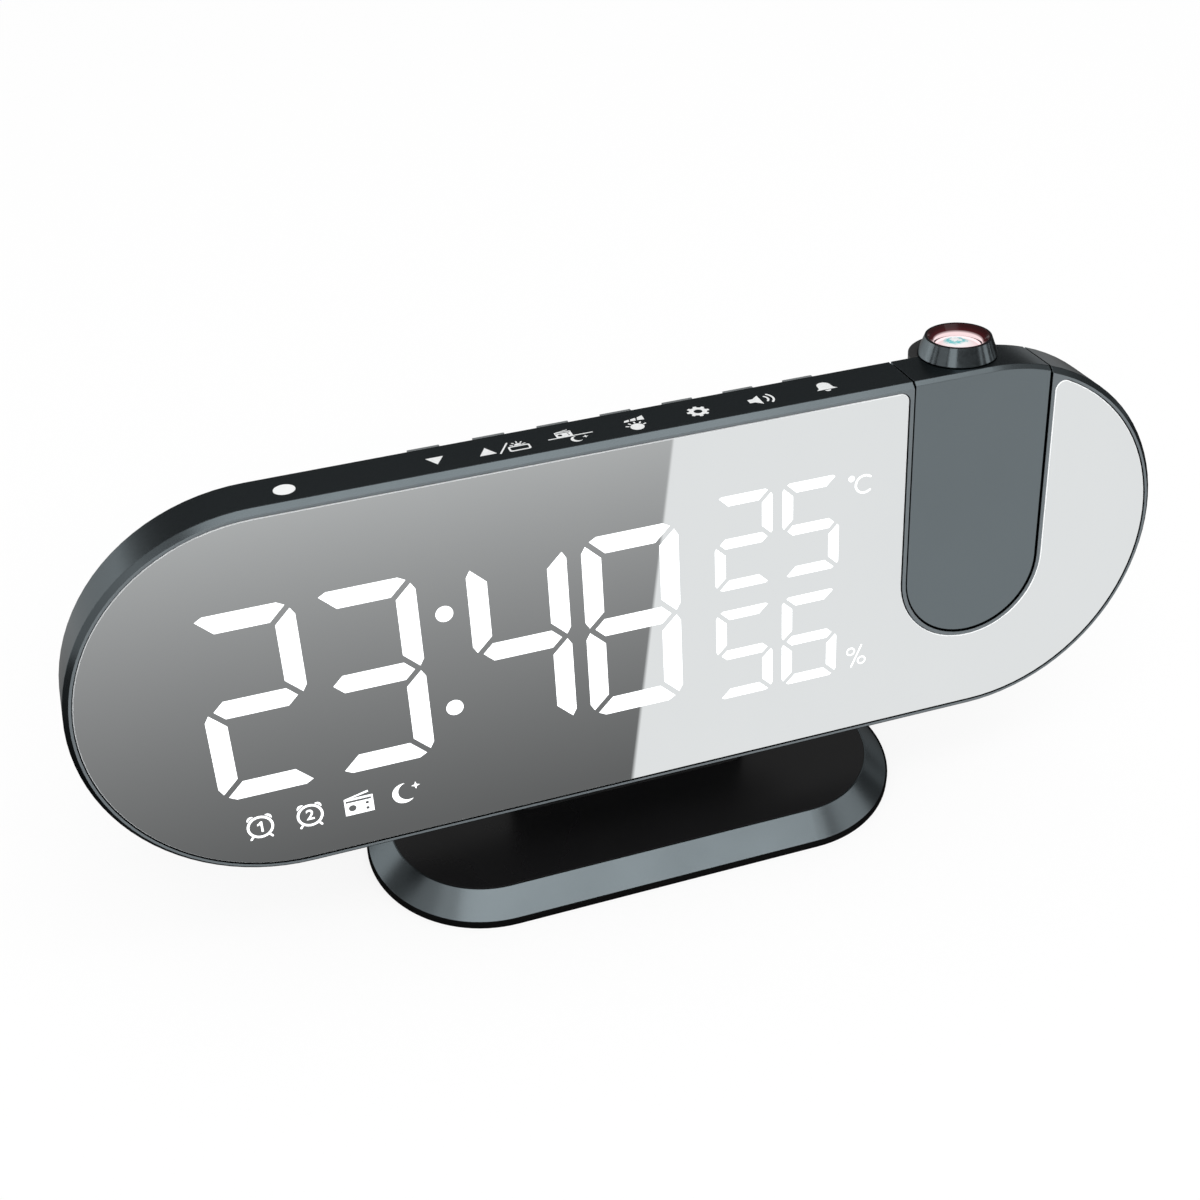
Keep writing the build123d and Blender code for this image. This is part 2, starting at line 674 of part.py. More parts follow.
with BuildPart() as arm_rear_cover:
    with BuildSketch(depth(bevel_depth)):
        tongue()
    extrude(amount=-(wall_depth - bevel_depth))
    # half-round column for the optics, fading into the back of the arm
    with BuildSketch(level(optic_floor)):
        Circle(column_radius)
    extrude(amount=body_height)
    with BuildSketch(level(optic_floor)):
        Circle(column_radius)
    extrude(amount=-column_flare, taper=degrees(atan2(column_narrow, column_flare)))
    with BuildSketch(head):
        stadium()
    extrude(amount=-pod_back, mode=Mode.INTERSECT)
    with BuildSketch(depth(bevel_depth)):
        tongue(1)
        with Locations((arm_centre, 0)):
            Rectangle(arm_width, 3 * body_height, mode=Mode.INTERSECT)
    extrude(amount=bevel_depth + column_radius, mode=Mode.SUBTRACT)
    # knuckle on the hinge line
    with BuildSketch(side(arm_centre - arm_half)):
        knuckle()
    extrude(amount=arm_width)
    with BuildSketch(side(arm_centre - arm_half - 1)):
        hinge_circle(axle_radius + axle_clearance)
    extrude(amount=arm_width + 2, mode=Mode.SUBTRACT)
    # recess for the front cover's plug and bosses
    with BuildSketch(depth(bevel_depth)):
        tongue(-arm_wall + fit_gap)
        stadium(arm_wall - fit_gap, mode=Mode.INTERSECT)
    extrude(amount=-(plug_depth + fit_gap), mode=Mode.SUBTRACT)
    with BuildSketch(depth(bevel_depth)):
        with Locations(*arm_screw_spots):
            Circle(arm_boss_radius + fit_gap)
    extrude(amount=-(arm_boss_length + fit_gap), mode=Mode.SUBTRACT)
    with BuildSketch(depth(bevel_depth)):
        with Locations(*arm_screw_spots):
            Circle(screw_radius + fit_gap)
    extrude(amount=-wall_depth, mode=Mode.SUBTRACT)
    with BuildSketch(depth(wall_depth - arm_screw_seat)):
        with Locations(*arm_screw_spots):
            Circle(2 * screw_radius + 2 * fit_gap)
    extrude(amount=-2 * arm_screw_seat, mode=Mode.SUBTRACT)
    with BuildSketch(level(optic_floor)):
        Circle(optic_bore)
    extrude(amount=body_height, mode=Mode.SUBTRACT)
arm_rear_cover.part.label = "arm_rear_cover"

with BuildPart() as arm_screws:
    with BuildSketch(depth(wall_depth - arm_screw_seat)):
        with Locations(*arm_screw_spots):
            Circle(screw_radius)
    extrude(amount=arm_screw_reach)
    with BuildSketch(depth(wall_depth - arm_screw_seat)):
        with Locations(*arm_screw_spots):
            Circle(2 * screw_radius)
    extrude(amount=-arm_screw_head_height)
arm_screws.part.label = "arm_screws"

# ---- hinge ------------------------------------------------------------------------------------
with BuildPart() as hinge_axle:
    with BuildSketch(side(arm_centre - axle_half)):
        hinge_circle(axle_radius)
    extrude(amount=2 * axle_half)
hinge_axle.part.label = "hinge_axle"

with BuildPart() as friction_washers:
    washer_offset = arm_half + slot_gap / 2
    for x in (arm_centre - washer_offset, arm_centre + washer_offset):
        with BuildSketch(side(x - washer_thickness / 2)):
            hinge_circle(knuckle_radius - washer_inset)
            hinge_circle(axle_radius + axle_clearance, mode=Mode.SUBTRACT)
        extrude(amount=washer_thickness)
friction_washers.part.label = "friction_washers"

# ---- projector optics -------------------------------------------------------------------------
with BuildPart() as optics_holder:
    with BuildSketch(level(optic_floor + fit_gap)):
        Circle(optic_bore - fit_gap)
        Circle(optic_bore - fit_gap - holder_wall, mode=Mode.SUBTRACT)
    extrude(amount=holder_length)
optics_holder.part.label = "optics_holder"

holder_inner = optic_bore - 2 * fit_gap - holder_wall
with BuildPart() as projector_board:
    with BuildSketch(level(optic_floor + fit_gap)):
        Circle(holder_inner)
    extrude(amount=1.0)
projector_board.part.label = "projector_board"

with BuildPart() as projector_led:
    with BuildSketch(level(optic_floor + fit_gap + 1.0)):
        Rectangle(2.8, 2.8)
    extrude(amount=0.8)
    with BuildSketch(level(optic_floor + fit_gap + 1.8)):
        Circle(1.1)
    extrude(amount=0.3)
projector_led.part.label = "projector_led"


def lens(height, radius, edge, crown, both=True):
    """A lens on the optical axis: a disc with one or two spherical faces."""
    ball = (radius ** 2 + crown ** 2) / (2 * crown)
    half_angle = asin(radius / ball) / 2
    sag = ball * (1 - cos(half_angle))
    middle = ball * sin(half_angle)
    with BuildPart() as glass:
        with BuildSketch(Plane(level(height).origin, x_dir=head.y_dir, z_dir=(1, 0, 0))):
            with BuildLine():
                bottom = -crown if both else 0
                Line((bottom, 0), (edge + crown, 0))
                ThreePointArc((edge + crown, 0), (edge + crown - sag, middle), (edge, radius))
                Line((edge, radius), (0, radius))
                if both:
                    ThreePointArc((0, radius), (sag - crown, middle), (bottom, 0))
                else:
                    Line((0, radius), (0, 0))
            make_face()
        revolve(axis=Axis(level(height).origin, head.y_dir))
    return glass


condenser_lens = lens(optic_floor + 4.5, holder_inner, 1.0, 1.4, both=False)
condenser_lens.part.label = "condenser_lens"

with BuildPart() as digit_slide:
    with BuildSketch(level(optic_floor + 10.0)):
        Circle(holder_inner)
    extrude(amount=0.7)
digit_slide.part.label = "digit_slide"

lens_level = cell_top - lens_sink
with BuildPart() as lens_cell:
    with BuildSketch(level(cell_top - cell_length)):
        Circle(cell_radius)
        Circle(cell_radius - cell_back_wall, mode=Mode.SUBTRACT)
    extrude(amount=cell_length)
    with BuildSketch(level(lens_level - lens_crown - lens_seat)):
        Circle(lens_radius + fit_gap)
    extrude(amount=cell_length, mode=Mode.SUBTRACT)
lens_cell.part.label = "lens_cell"

projection_lens = lens(lens_level, lens_radius, lens_edge, lens_crown)
projection_lens.part.label = "projection_lens"

with BuildPart() as focus_ring:
    with BuildSketch(Plane(level(half_height).origin, x_dir=-head.z_dir, z_dir=(1, 0, 0))):
        with BuildLine():
            throat_radius = lens_radius + 0.15
            ring_top = ring_lift + ring_height
            Polyline(
                (sleeve_inner, -cell_length), (sleeve_outer, -cell_length), (sleeve_outer, ring_lift),
                (ring_base_radius, ring_lift), (ring_top_radius, ring_top),
                (ring_top_radius - ring_rim, ring_top), (throat_radius, collar + throat_lip),
                (throat_radius, collar), (sleeve_inner, collar), close=True,
            )
        make_face()
    revolve(axis=Axis(level(half_height).origin, head.y_dir))
focus_ring.part.label = "focus_ring"

# ---- foot and neck ----------------------------------------------------------------------------
top_length = foot_length - 2 * foot_bevel
top_width = foot_width - 2 * foot_bevel
shell_height = foot_height - pad_thickness
floor_level = foot_height - inlay_thickness
cavity_height = ballast_thickness + fit_gap
neck_foot = head.from_local_coords((0, pod_bottom, -neck_depth))
neck_spots = [(-neck_screw_spacing / 2, neck_foot.Y), (neck_screw_spacing / 2, neck_foot.Y)]

with BuildPart() as foot_pad:
    with BuildSketch(Plane.XY):
        SlotOverall(foot_length, foot_width)
    extrude(amount=pad_thickness)
foot_pad.part.label = "foot_pad"

with BuildPart() as foot_shell:
    with BuildSketch(Plane.XY.offset(pad_thickness)):
        SlotOverall(foot_length - 2 * pad_lip, foot_width - 2 * pad_lip)
    extrude(amount=shell_height, taper=degrees(atan2(foot_bevel - pad_lip, shell_height)))
    with BuildSketch(Plane.XY.offset(floor_level)):
        SlotOverall(top_length - 2 * inlay_lip, top_width - 2 * inlay_lip)
    extrude(amount=2 * inlay_thickness, mode=Mode.SUBTRACT)
    with BuildSketch(Plane.XY.offset(pad_thickness)):
        SlotOverall(*ballast_size)
    extrude(amount=cavity_height, mode=Mode.SUBTRACT)
    with BuildSketch(Plane.XY):
        with Locations(*neck_spots):
            Circle(neck_screw_radius + fit_gap)
    extrude(amount=2 * foot_height, mode=Mode.SUBTRACT)
foot_shell.part.label = "foot_shell"

with BuildPart() as foot_inlay:
    with BuildSketch(Plane.XY.offset(floor_level)):
        SlotOverall(top_length - 2 * inlay_lip - 2 * fit_gap, top_width - 2 * inlay_lip - 2 * fit_gap)
        with Locations((0, neck_foot.Y)):
            SlotOverall(neck_length + 2 * fit_gap, neck_thickness + 2 * fit_gap, mode=Mode.SUBTRACT)
    extrude(amount=inlay_thickness)
foot_inlay.part.label = "foot_inlay"

with BuildPart() as ballast_plate:
    with BuildSketch(Plane.XY.offset(pad_thickness)):
        SlotOverall(ballast_size[0] - 2 * fit_gap, ballast_size[1] - 2 * fit_gap)
        with Locations(*neck_spots):
            Circle(2 * neck_screw_radius + 0.5, mode=Mode.SUBTRACT)
    extrude(amount=ballast_thickness)
ballast_plate.part.label = "ballast_plate"

with BuildPart() as neck:
    with BuildSketch(Plane.XY.offset(floor_level)):
        with Locations((0, neck_foot.Y)):
            SlotOverall(neck_length, neck_thickness)
    extrude(amount=face_rise - floor_level)
    split(bisect_by=Plane(neck_foot, x_dir=(1, 0, 0), z_dir=head.y_dir), keep=Keep.BOTTOM)
    with BuildSketch(Plane.XY.offset(floor_level)):
        with Locations(*neck_spots):
            Circle(neck_screw_radius + fit_gap)
    extrude(amount=foot_screw_reach + 0.5, mode=Mode.SUBTRACT)
    for x, y in neck_spots:
        with BuildSketch(level(pod_bottom - neck_screw_reach - 1, x=x, back=neck_depth)):
            Circle(neck_screw_radius + fit_gap)
        extrude(amount=neck_screw_reach + 2, mode=Mode.SUBTRACT)
neck.part.label = "neck"

with BuildPart() as foot_screws:
    with BuildSketch(Plane.XY.offset(pad_thickness + cavity_height - foot_screw_head)):
        with Locations(*neck_spots):
            Circle(2 * neck_screw_radius)
    extrude(amount=foot_screw_head)
    with BuildSketch(Plane.XY.offset(pad_thickness + cavity_height)):
        with Locations(*neck_spots):
            Circle(neck_screw_radius)
    extrude(amount=foot_screw_reach)
foot_screws.part.label = "foot_screws"

with BuildPart() as neck_screws:
    for x, y in neck_spots:
        with BuildSketch(level(pod_bottom + back_wall, x=x, back=neck_depth)):
            Circle(2 * neck_screw_radius)
        extrude(amount=neck_screw_head)
        with BuildSketch(level(pod_bottom - neck_screw_reach, x=x, back=neck_depth)):
            Circle(neck_screw_radius)
        extrude(amount=neck_screw_reach + back_wall)
neck_screws.part.label = "neck_screws"

# ---- write one file per piece -----------------------------------------------------------------
pieces = buttons + [
    front_bezel, mirror_panel, rear_housing, light_sensor_window, display_reflector, digit_diffusers,
    main_board, board_parts, button_board, tact_switches, speaker, battery_holder, coin_cell,
    battery_door, power_inlet, housing_screws, arm_front_cover, arm_rear_cover, arm_screws,
    hinge_axle, friction_washers, optics_holder, projector_board, projector_led, condenser_lens,
    digit_slide, lens_cell, projection_lens, focus_ring, foot_pad, foot_shell, foot_inlay,
    ballast_plate, neck, foot_screws, neck_screws,
]
os.makedirs("parts", exist_ok=True)
for piece in pieces:
    export_step(piece.part, f"parts/{piece.part.label}.step")
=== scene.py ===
import json
import math

import bmesh
import bpy
from mathutils import Matrix, Vector

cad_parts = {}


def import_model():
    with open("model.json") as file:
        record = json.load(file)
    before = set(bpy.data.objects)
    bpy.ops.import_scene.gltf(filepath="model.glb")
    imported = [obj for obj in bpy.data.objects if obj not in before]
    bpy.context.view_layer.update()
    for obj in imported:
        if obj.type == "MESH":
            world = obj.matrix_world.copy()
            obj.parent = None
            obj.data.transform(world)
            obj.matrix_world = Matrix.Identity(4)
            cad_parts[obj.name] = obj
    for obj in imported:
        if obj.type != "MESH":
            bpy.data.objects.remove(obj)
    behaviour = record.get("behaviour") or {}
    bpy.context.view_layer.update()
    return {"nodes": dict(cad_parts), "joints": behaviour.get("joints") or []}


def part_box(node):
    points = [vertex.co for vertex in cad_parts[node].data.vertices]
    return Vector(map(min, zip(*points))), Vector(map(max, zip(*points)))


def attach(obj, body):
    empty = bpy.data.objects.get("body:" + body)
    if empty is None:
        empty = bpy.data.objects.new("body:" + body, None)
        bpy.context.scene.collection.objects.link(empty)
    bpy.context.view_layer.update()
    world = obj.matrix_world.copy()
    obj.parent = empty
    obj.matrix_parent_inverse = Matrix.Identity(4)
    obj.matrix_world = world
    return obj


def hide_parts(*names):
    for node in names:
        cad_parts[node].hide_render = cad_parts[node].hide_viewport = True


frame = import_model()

nodes = frame["nodes"]
joints = {joint["name"]: joint for joint in frame["joints"]}

MM = 0.001

# ---- camera -----------------------------------------------------------------------------------
camera_place = (-0.07735, -0.21374, 0.24032)
camera_azimuth = 18.37      # degrees, turned right of +Y
camera_elevation = 40.07    # degrees, looking down
camera_lens = 52.29         # millimetres
camera_sensor = 36.0

# ---- the head's frame -------------------------------------------------------------------------
wall_depth = 9.6            # millimetres, as all sizes from here to the stage
hinge_depth = 11.3
half_height = 33.7
arc_centre = 61.3           # of the round ends
mirror_recess = 0.1
right = Vector((1, 0, 0))
up = Vector(joints["focus_turn"]["axis"]).normalized()
outward = right.cross(up)
hinge_point = Vector(joints["arm_tilt"]["pos_m"])
head_centre = Vector((0, hinge_point.y, hinge_point.z)) + outward * hinge_depth * MM

# ---- display ----------------------------------------------------------------------------------
print_thickness = 0.02
time_row = 0.1                                  # centre line of the big digits
big_digits = [(-65.9, "2"), (-46.9, "3"), (-22.15, "4"), (-3.05, "8")]
big_size = (16.6, 34.65)
big_stroke = 3.3
big_gap = 1.0
big_cut = 0.7                                   # taken off each segment's outer corner
colon_place = -34.5
colon_radius = 1.45
colon_spacing = 9.05
small_columns = (16.7, 28.75)
small_rows = {"temperature": (11.05, "25"), "humidity": (-10.8, "56")}
small_size = (10.25, 17.8)
small_stroke = 1.85
small_gap = 0.85
small_cut = 0.25
degree_ring = (36.0, 18.5, 0.55)                # centre and radius
degree_letter = (38.4, 17.1, 1.6, 50, 310, 0.34)    # centre, radius, both angles and stroke
percent_bar = (36.9, -19.1, 38.8, -14.9, 0.24)  # both ends and stroke
percent_rings = [(36.75, -15.9), (38.85, -18.1)]
percent_radii = (0.82, 0.57)
symbol_row = -23.7
alarm_places = {"1": -68.82, "2": -60.57}
radio_place = -52.36
moon_place = -44.7
lit_segments = {
    "2": "abged", "3": "abgcd", "4": "fgbc", "5": "afgcd", "6": "afgedc", "8": "abcdefg",
}

# ---- printed legends on the top wall -----------------------------------------------------------
legend_depth = 4.75         # middle of the row, behind the front rim

# ---- drawing -----------------------------------------------------------------------------------
end_steps = 8               # of a stroke's round end
corner_steps = 6            # of a box's round corner
moon_tilt = 20              # degrees
weld_distance = 0.002


# ---- geometry helpers --------------------------------------------------------------------------
def placed(across, along, normal, origin):
    """Matrix that puts flat millimetre drawings on a surface."""
    turn = Matrix((across, along, normal)).transposed().to_4x4()
    return Matrix.Translation(origin) @ turn @ Matrix.Scale(MM, 4)


def on_head(x, height, depth):
    """Point given in millimetres: right, up the head, and behind the front rim."""
    return head_centre + (right * x + up * height - outward * depth) * MM


def in_head(point):
    """Millimetres of a point: right, up the head, and behind the front rim."""
    offset = point - head_centre
    return offset.dot(right) / MM, offset.dot(up) / MM, -offset.dot(outward) / MM


def face_plane():
    """Local x runs right and local y runs up the mirror."""
    return placed(right, up, outward, on_head(0, 0, mirror_recess))


def top_plane():
    """Local x runs right and local y runs backwards along the top wall."""
    return placed(right, -outward, up, on_head(0, half_height, 0))


def back_plane(depth):
    """Local x runs left, as seen from the front, and local y runs up the back."""
    return placed(-right, up, -outward, on_head(0, 0, depth))


def polar(cx, cy, radius, angle):
    """Point at a distance and an angle in degrees from a centre."""
    turn = math.radians(angle)
    return cx + radius * math.cos(turn), cy + radius * math.sin(turn)


def moved(points, cx, cy):
    """Points drawn about zero, moved to a centre."""
    return [(cx + x, cy + y) for x, y in points]


def arc(cx, cy, radius, start, stop, steps=24):
    """Points along an arc, angles in degrees."""
    return [polar(cx, cy, radius, start + (stop - start) * i / steps) for i in range(steps + 1)]


def circle(cx, cy, radius, steps=48):
    return arc(cx, cy, radius, 0, 360, steps)[:-1]


def line(x0, y0, x1, y1, width):
    """A straight stroke with round ends."""
    turn = math.degrees(math.atan2(y1 - y0, x1 - x0))
    tip = arc(x1, y1, width / 2, turn - 90, turn + 90, end_steps)
    return tip + arc(x0, y0, width / 2, turn + 90, turn + 270, end_steps)


def ray(cx, cy, start, stop, angle, width):
    """A straight stroke that points away from a centre."""
    return line(*polar(cx, cy, start, angle), *polar(cx, cy, stop, angle), width)


def bow(cx, cy, radius, start, stop, width):
    """A curved stroke with round ends, start below stop."""
    outer = arc(cx, cy, radius + width / 2, start, stop)
    tip = arc(*polar(cx, cy, radius, stop), width / 2, stop, stop + 180, end_steps)
    inner = arc(cx, cy, radius - width / 2, stop, start)
    root = arc(*polar(cx, cy, radius, start), width / 2, start + 180, start + 360, end_steps)
    return outer + tip[1:-1] + inner + root[1:-1]


def box_loop(cx, cy, width, height, corner=0.0):
    """A rectangle, with round corners where corner is above 0."""
    w, h = width / 2 - corner, height / 2 - corner
    loop = []
    for sx, sy, start in ((1, 1, 0), (-1, 1, 90), (-1, -1, 180), (1, -1, 270)):
        loop += arc(cx + sx * w, cy + sy * h, corner, start, start + 90,
                    corner_steps if corner else 1)
    return loop if corner else loop[::2]


def crescent(cx, cy, radius, tilt):
    """A moon: a disc less a disc shifted towards tilt, which meet at its two horns."""
    horn, shift = 62, radius * 0.42
    outer = arc(cx, cy, radius, tilt + horn, tilt + 360 - horn, 32)
    reach = radius * math.sin(math.radians(horn))
    back = radius * math.cos(math.radians(horn)) - shift
    swing = math.degrees(math.atan2(reach, back))
    inner_radius = math.hypot(reach, back)
    inner = arc(*polar(cx, cy, shift, tilt), inner_radius, tilt + 360 - swing, tilt + swing, 28)
    return outer + inner[1:-1]


def star(cx, cy, radius):
    """Four-pointed star."""
    waist = radius * 0.34
    return [polar(cx, cy, waist if i % 2 else radius, 45 * i) for i in range(8)]


def mesh_object(name, mesh, body, material):
    """A visible piece that rides on a body of the record."""
    piece = bpy.data.objects.new(name, mesh)
    bpy.context.scene.collection.objects.link(piece)
    piece.data.materials.clear()
    piece.data.materials.append(material)
    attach(piece, body)
    return piece


def outline_mesh(loops, plane):
    """Closed mesh of flat loops; a loop inside another is a hole."""
    curve = bpy.data.curves.new("outline", "CURVE")
    curve.dimensions = "2D"
    curve.fill_mode = "BOTH"
    for loop in loops:
        spline = curve.splines.new("POLY")
        spline.points.add(len(loop) - 1)
        for point, (x, y) in zip(spline.points, loop):
            point.co = (x, y, 0, 1)
        spline.use_cyclic_u = True
    return curve_to_mesh(curve, plane)


def curve_to_mesh(curve, plane):
    """Mesh of a curve, as thick as print, that lies on a plane."""
    curve.extrude = print_thickness / 2
    holder = bpy.data.objects.new("outline", curve)
    bpy.context.scene.collection.objects.link(holder)
    bpy.context.view_layer.update()
    graph = bpy.context.evaluated_depsgraph_get()
    mesh = bpy.data.meshes.new_from_object(holder.evaluated_get(graph))
    bpy.data.objects.remove(holder)
    work = bmesh.new()
    work.from_mesh(mesh)
    bmesh.ops.remove_doubles(work, verts=work.verts, dist=weld_distance)
    work.to_mesh(mesh)
    work.free()
    mesh.transform(plane @ Matrix.Translation((0, 0, print_thickness / 2)))
    return mesh


def printed(name, loops, plane, material):
    """A thin flat shape that lies on a surface of the clock."""
    mesh_object(name, outline_mesh(loops, plane), "clock", material)


def number_mesh(text, size, cx, cy, plane):
    """A plain numeral from Blender's own font, a little bolder, centred on a point."""
    curve = bpy.data.curves.new("number", "FONT")
    curve.body = text
    curve.size = size
    curve.align_x = "CENTER"
    curve.align_y = "CENTER"
    curve.offset = 0.012 * size
    return curve_to_mesh(curve, plane @ Matrix.Translation((cx, cy, 0)))


def join_meshes(meshes):
    work = bmesh.new()
    for mesh in meshes:
        work.from_mesh(mesh)
        bpy.data.meshes.remove(mesh)
    joined = bpy.data.meshes.new("joined")
    work.to_mesh(joined)
    work.free()
    return joined


def lathe(profile, steps=40):
    """Solid of revolution about local z; profile is (radius, height) from axis to axis."""
    work = bmesh.new()
    turns = [2 * math.pi * i / steps for i in range(steps)]
    rings = []
    for radius, height in profile:
        if radius == 0:
            rings.append([work.verts.new((0, 0, height))])
        else:
            rings.append([work.verts.new((radius * math.cos(t), radius * math.sin(t), height))
                          for t in turns])
    for lower, upper in zip(rings, rings[1:]):
        for i in range(steps):
            j = (i + 1) % steps
            corners = [lower[i % len(lower)], lower[j % len(lower)],
                       upper[j % len(upper)], upper[i % len(upper)]]
            unique = list(dict.fromkeys(corners))
            if len(unique) > 2:
                work.faces.new(unique)
    bmesh.ops.recalc_face_normals(work, faces=work.faces)
    mesh = bpy.data.meshes.new("lathe")
    work.to_mesh(mesh)
    work.free()
    return mesh


# ---- material helpers --------------------------------------------------------------------------
class Shader:
    """A Principled material with short helpers for its nodes."""
    bevel_samples = 6

    def __init__(self, name, base, roughness, metallic=0.0, **sockets):
        self.material = bpy.data.materials.new(name)
        self.material.use_nodes = True
        self.tree = self.material.node_tree
        self.principled = self.tree.nodes["Principled BSDF"]
        self.set("Base Color", (*base, 1))
        self.set("Roughness", roughness)
        self.set("Metallic", metallic)
        for socket, value in sockets.items():
            self.set(socket.replace("_", " "), value)
        self.place = self.tree.nodes.new("ShaderNodeTexCoord").outputs["Object"]

    def set(self, socket, value):
        self.principled.inputs[socket].default_value = value

    def node(self, kind, **values):
        made = self.tree.nodes.new(kind)
        for key, value in values.items():
            if key in made.inputs:
                made.inputs[key].default_value = value
            else:
                setattr(made, key, value)
        return made

    def link(self, source, target):
        self.tree.links.new(source, target)

    def drive(self, socket, source):
        """Links an output to a socket of the Principled shader."""
        self.link(source, self.principled.inputs[socket])

    def noise(self, scale, detail=3.0, roughness=0.55, stretch=None):
        texture = self.node("ShaderNodeTexNoise", Scale=scale, Detail=detail, Roughness=roughness)
        source = self.place
        if stretch:
            mapping = self.node("ShaderNodeMapping", Scale=stretch)
            self.link(source, mapping.inputs["Vector"])
            source = mapping.outputs["Vector"]
        self.link(source, texture.inputs["Vector"])
        return texture.outputs["Fac"]

    def spread(self, source, low, high, from_low=0.3, from_high=0.7):
        """Source remapped to run from low to high."""
        remap = self.node("ShaderNodeMapRange")
        for socket, value in zip(remap.inputs[1:5], (from_low, from_high, low, high)):
            socket.default_value = value
        self.link(source, remap.inputs["Value"])
        return remap.outputs["Result"]

    def tones(self, source, first, second):
        """Colour that runs with a noise between two RGB triples."""
        return self.mix(self.spread(source, 0.0, 1.0), first, second)

    def mix(self, factor, first, second):
        """Colour mix; each end is an output or an RGB triple."""
        mixer = self.tree.nodes.new("ShaderNodeMix")
        mixer.data_type = "RGBA"
        self.link(factor, mixer.inputs[0])
        for end, socket in ((first, mixer.inputs[6]), (second, mixer.inputs[7])):
            if isinstance(end, tuple):
                socket.default_value = (*end, 1)
            else:
                self.link(end, socket)
        return mixer.outputs[2]

    def bump(self, source, depth, strength, edge=0.0):
        """Surface relief of about depth millimetres, over edges rounded by edge millimetres."""
        relief = self.node("ShaderNodeBump", Distance=depth * MM, Strength=strength)
        self.link(source, relief.inputs["Height"])
        if edge:
            bevel = self.node("ShaderNodeBevel", samples=self.bevel_samples, Radius=edge * MM)
            self.link(bevel.outputs["Normal"], relief.inputs["Normal"])
        self.drive("Normal", relief.outputs["Normal"])

    def roughen(self, source, low, high):
        self.drive("Roughness", self.spread(source, low, high))

    def maths(self, operation, *terms):
        """A Math node; each term is an output or a number."""
        made = self.node("ShaderNodeMath", operation=operation)
        for term, socket in zip(terms, made.inputs):
            if isinstance(term, (int, float)):
                socket.default_value = term
            else:
                self.link(term, socket)
        return made.outputs[0]

    def vector(self, operation, source, other):
        """A Vector Math node on an output and a fixed vector."""
        made = self.node("ShaderNodeVectorMath", operation=operation)
        self.link(source, made.inputs[0])
        made.inputs[1].default_value = other
        return made.outputs["Value" if operation == "DOT_PRODUCT" else "Vector"]

    def along(self, origin, axis):
        """Millimetres from origin along axis."""
        offset = self.vector("SUBTRACT", self.place, origin)
        return self.maths("DIVIDE", self.vector("DOT_PRODUCT", offset, axis), MM)

    def from_axis(self, origin, axis):
        """Millimetres from the line through origin along axis."""
        offset = self.vector("SUBTRACT", self.place, origin)
        length = self.node("ShaderNodeVectorMath", operation="LENGTH")
        self.link(self.vector("CROSS_PRODUCT", offset, axis), length.inputs[0])
        return self.maths("DIVIDE", length.outputs["Value"], MM)

    def colour(self, source):
        self.drive("Base Color", source)

    def glow(self, source):
        """Emission at full strength in the colour of an output."""
        self.set("Emission Strength", 1.0)
        self.drive("Emission Color", source)


paint_mean = (0.143, 0.168, 0.18)
paint_tones = (0.136, 0.159, 0.17), (0.15, 0.176, 0.188)
rubbed_paint = (0.15, 0.172, 0.184)
edge_tint = (0.5, 0.5, 0.5, 1)      # keeps the lacquer from glaring at grazing angles
plastic_mean = (0.012, 0.0125, 0.013)
plastic_tones = (0.018, 0.0185, 0.019), (0.026, 0.0265, 0.027)
unlit = (0.0, 0.0, 0.0)
white = (1.0, 1.0, 1.0)
soft_edge = 0.12                    # millimetres, of the moulded pieces
flake_noise = (9000, 2.0, 0.7)      # scale, detail and roughness
grain_noise = (5200, 3.0, 0.6)
wear_noise = (70, 4.0)


def gunmetal_paint(name="gunmetal_paint", rubbed_rim=False):
    """Satin metallic lacquer: what it shows is nearly all reflection, over a fine flake.
    A rubbed rim is the bezel's flat front edge, where the lacquer is dull."""
    s = Shader(name, paint_mean, 0.23, 1.0, Specular_Tint=edge_tint)
    flake = s.noise(*flake_noise)
    lacquer = s.tones(flake, *paint_tones)
    if rubbed_rim:
        rim_depth = 0.03
        on_rim = s.maths("GREATER_THAN", s.along(head_centre, outward), -rim_depth)
        lacquer = s.mix(on_rim, lacquer, rubbed_paint)
        s.drive("Metallic", s.maths("SUBTRACT", 1.0, on_rim))
    s.colour(lacquer)
    s.roughen(s.noise(45, 3.0), 0.2, 0.26)
    s.bump(flake, 0.004, 0.25, soft_edge)
    return s.material


def black_plastic():
    """Moulded black with a fine spark-eroded grain."""
    s = Shader("black_plastic", plastic_mean, 0.42)
    wear = s.noise(*wear_noise)
    s.colour(s.tones(wear, *plastic_tones))
    s.roughen(wear, 0.36, 0.48)
    s.bump(s.noise(*grain_noise), 0.012, 0.4, soft_edge)
    return s.material


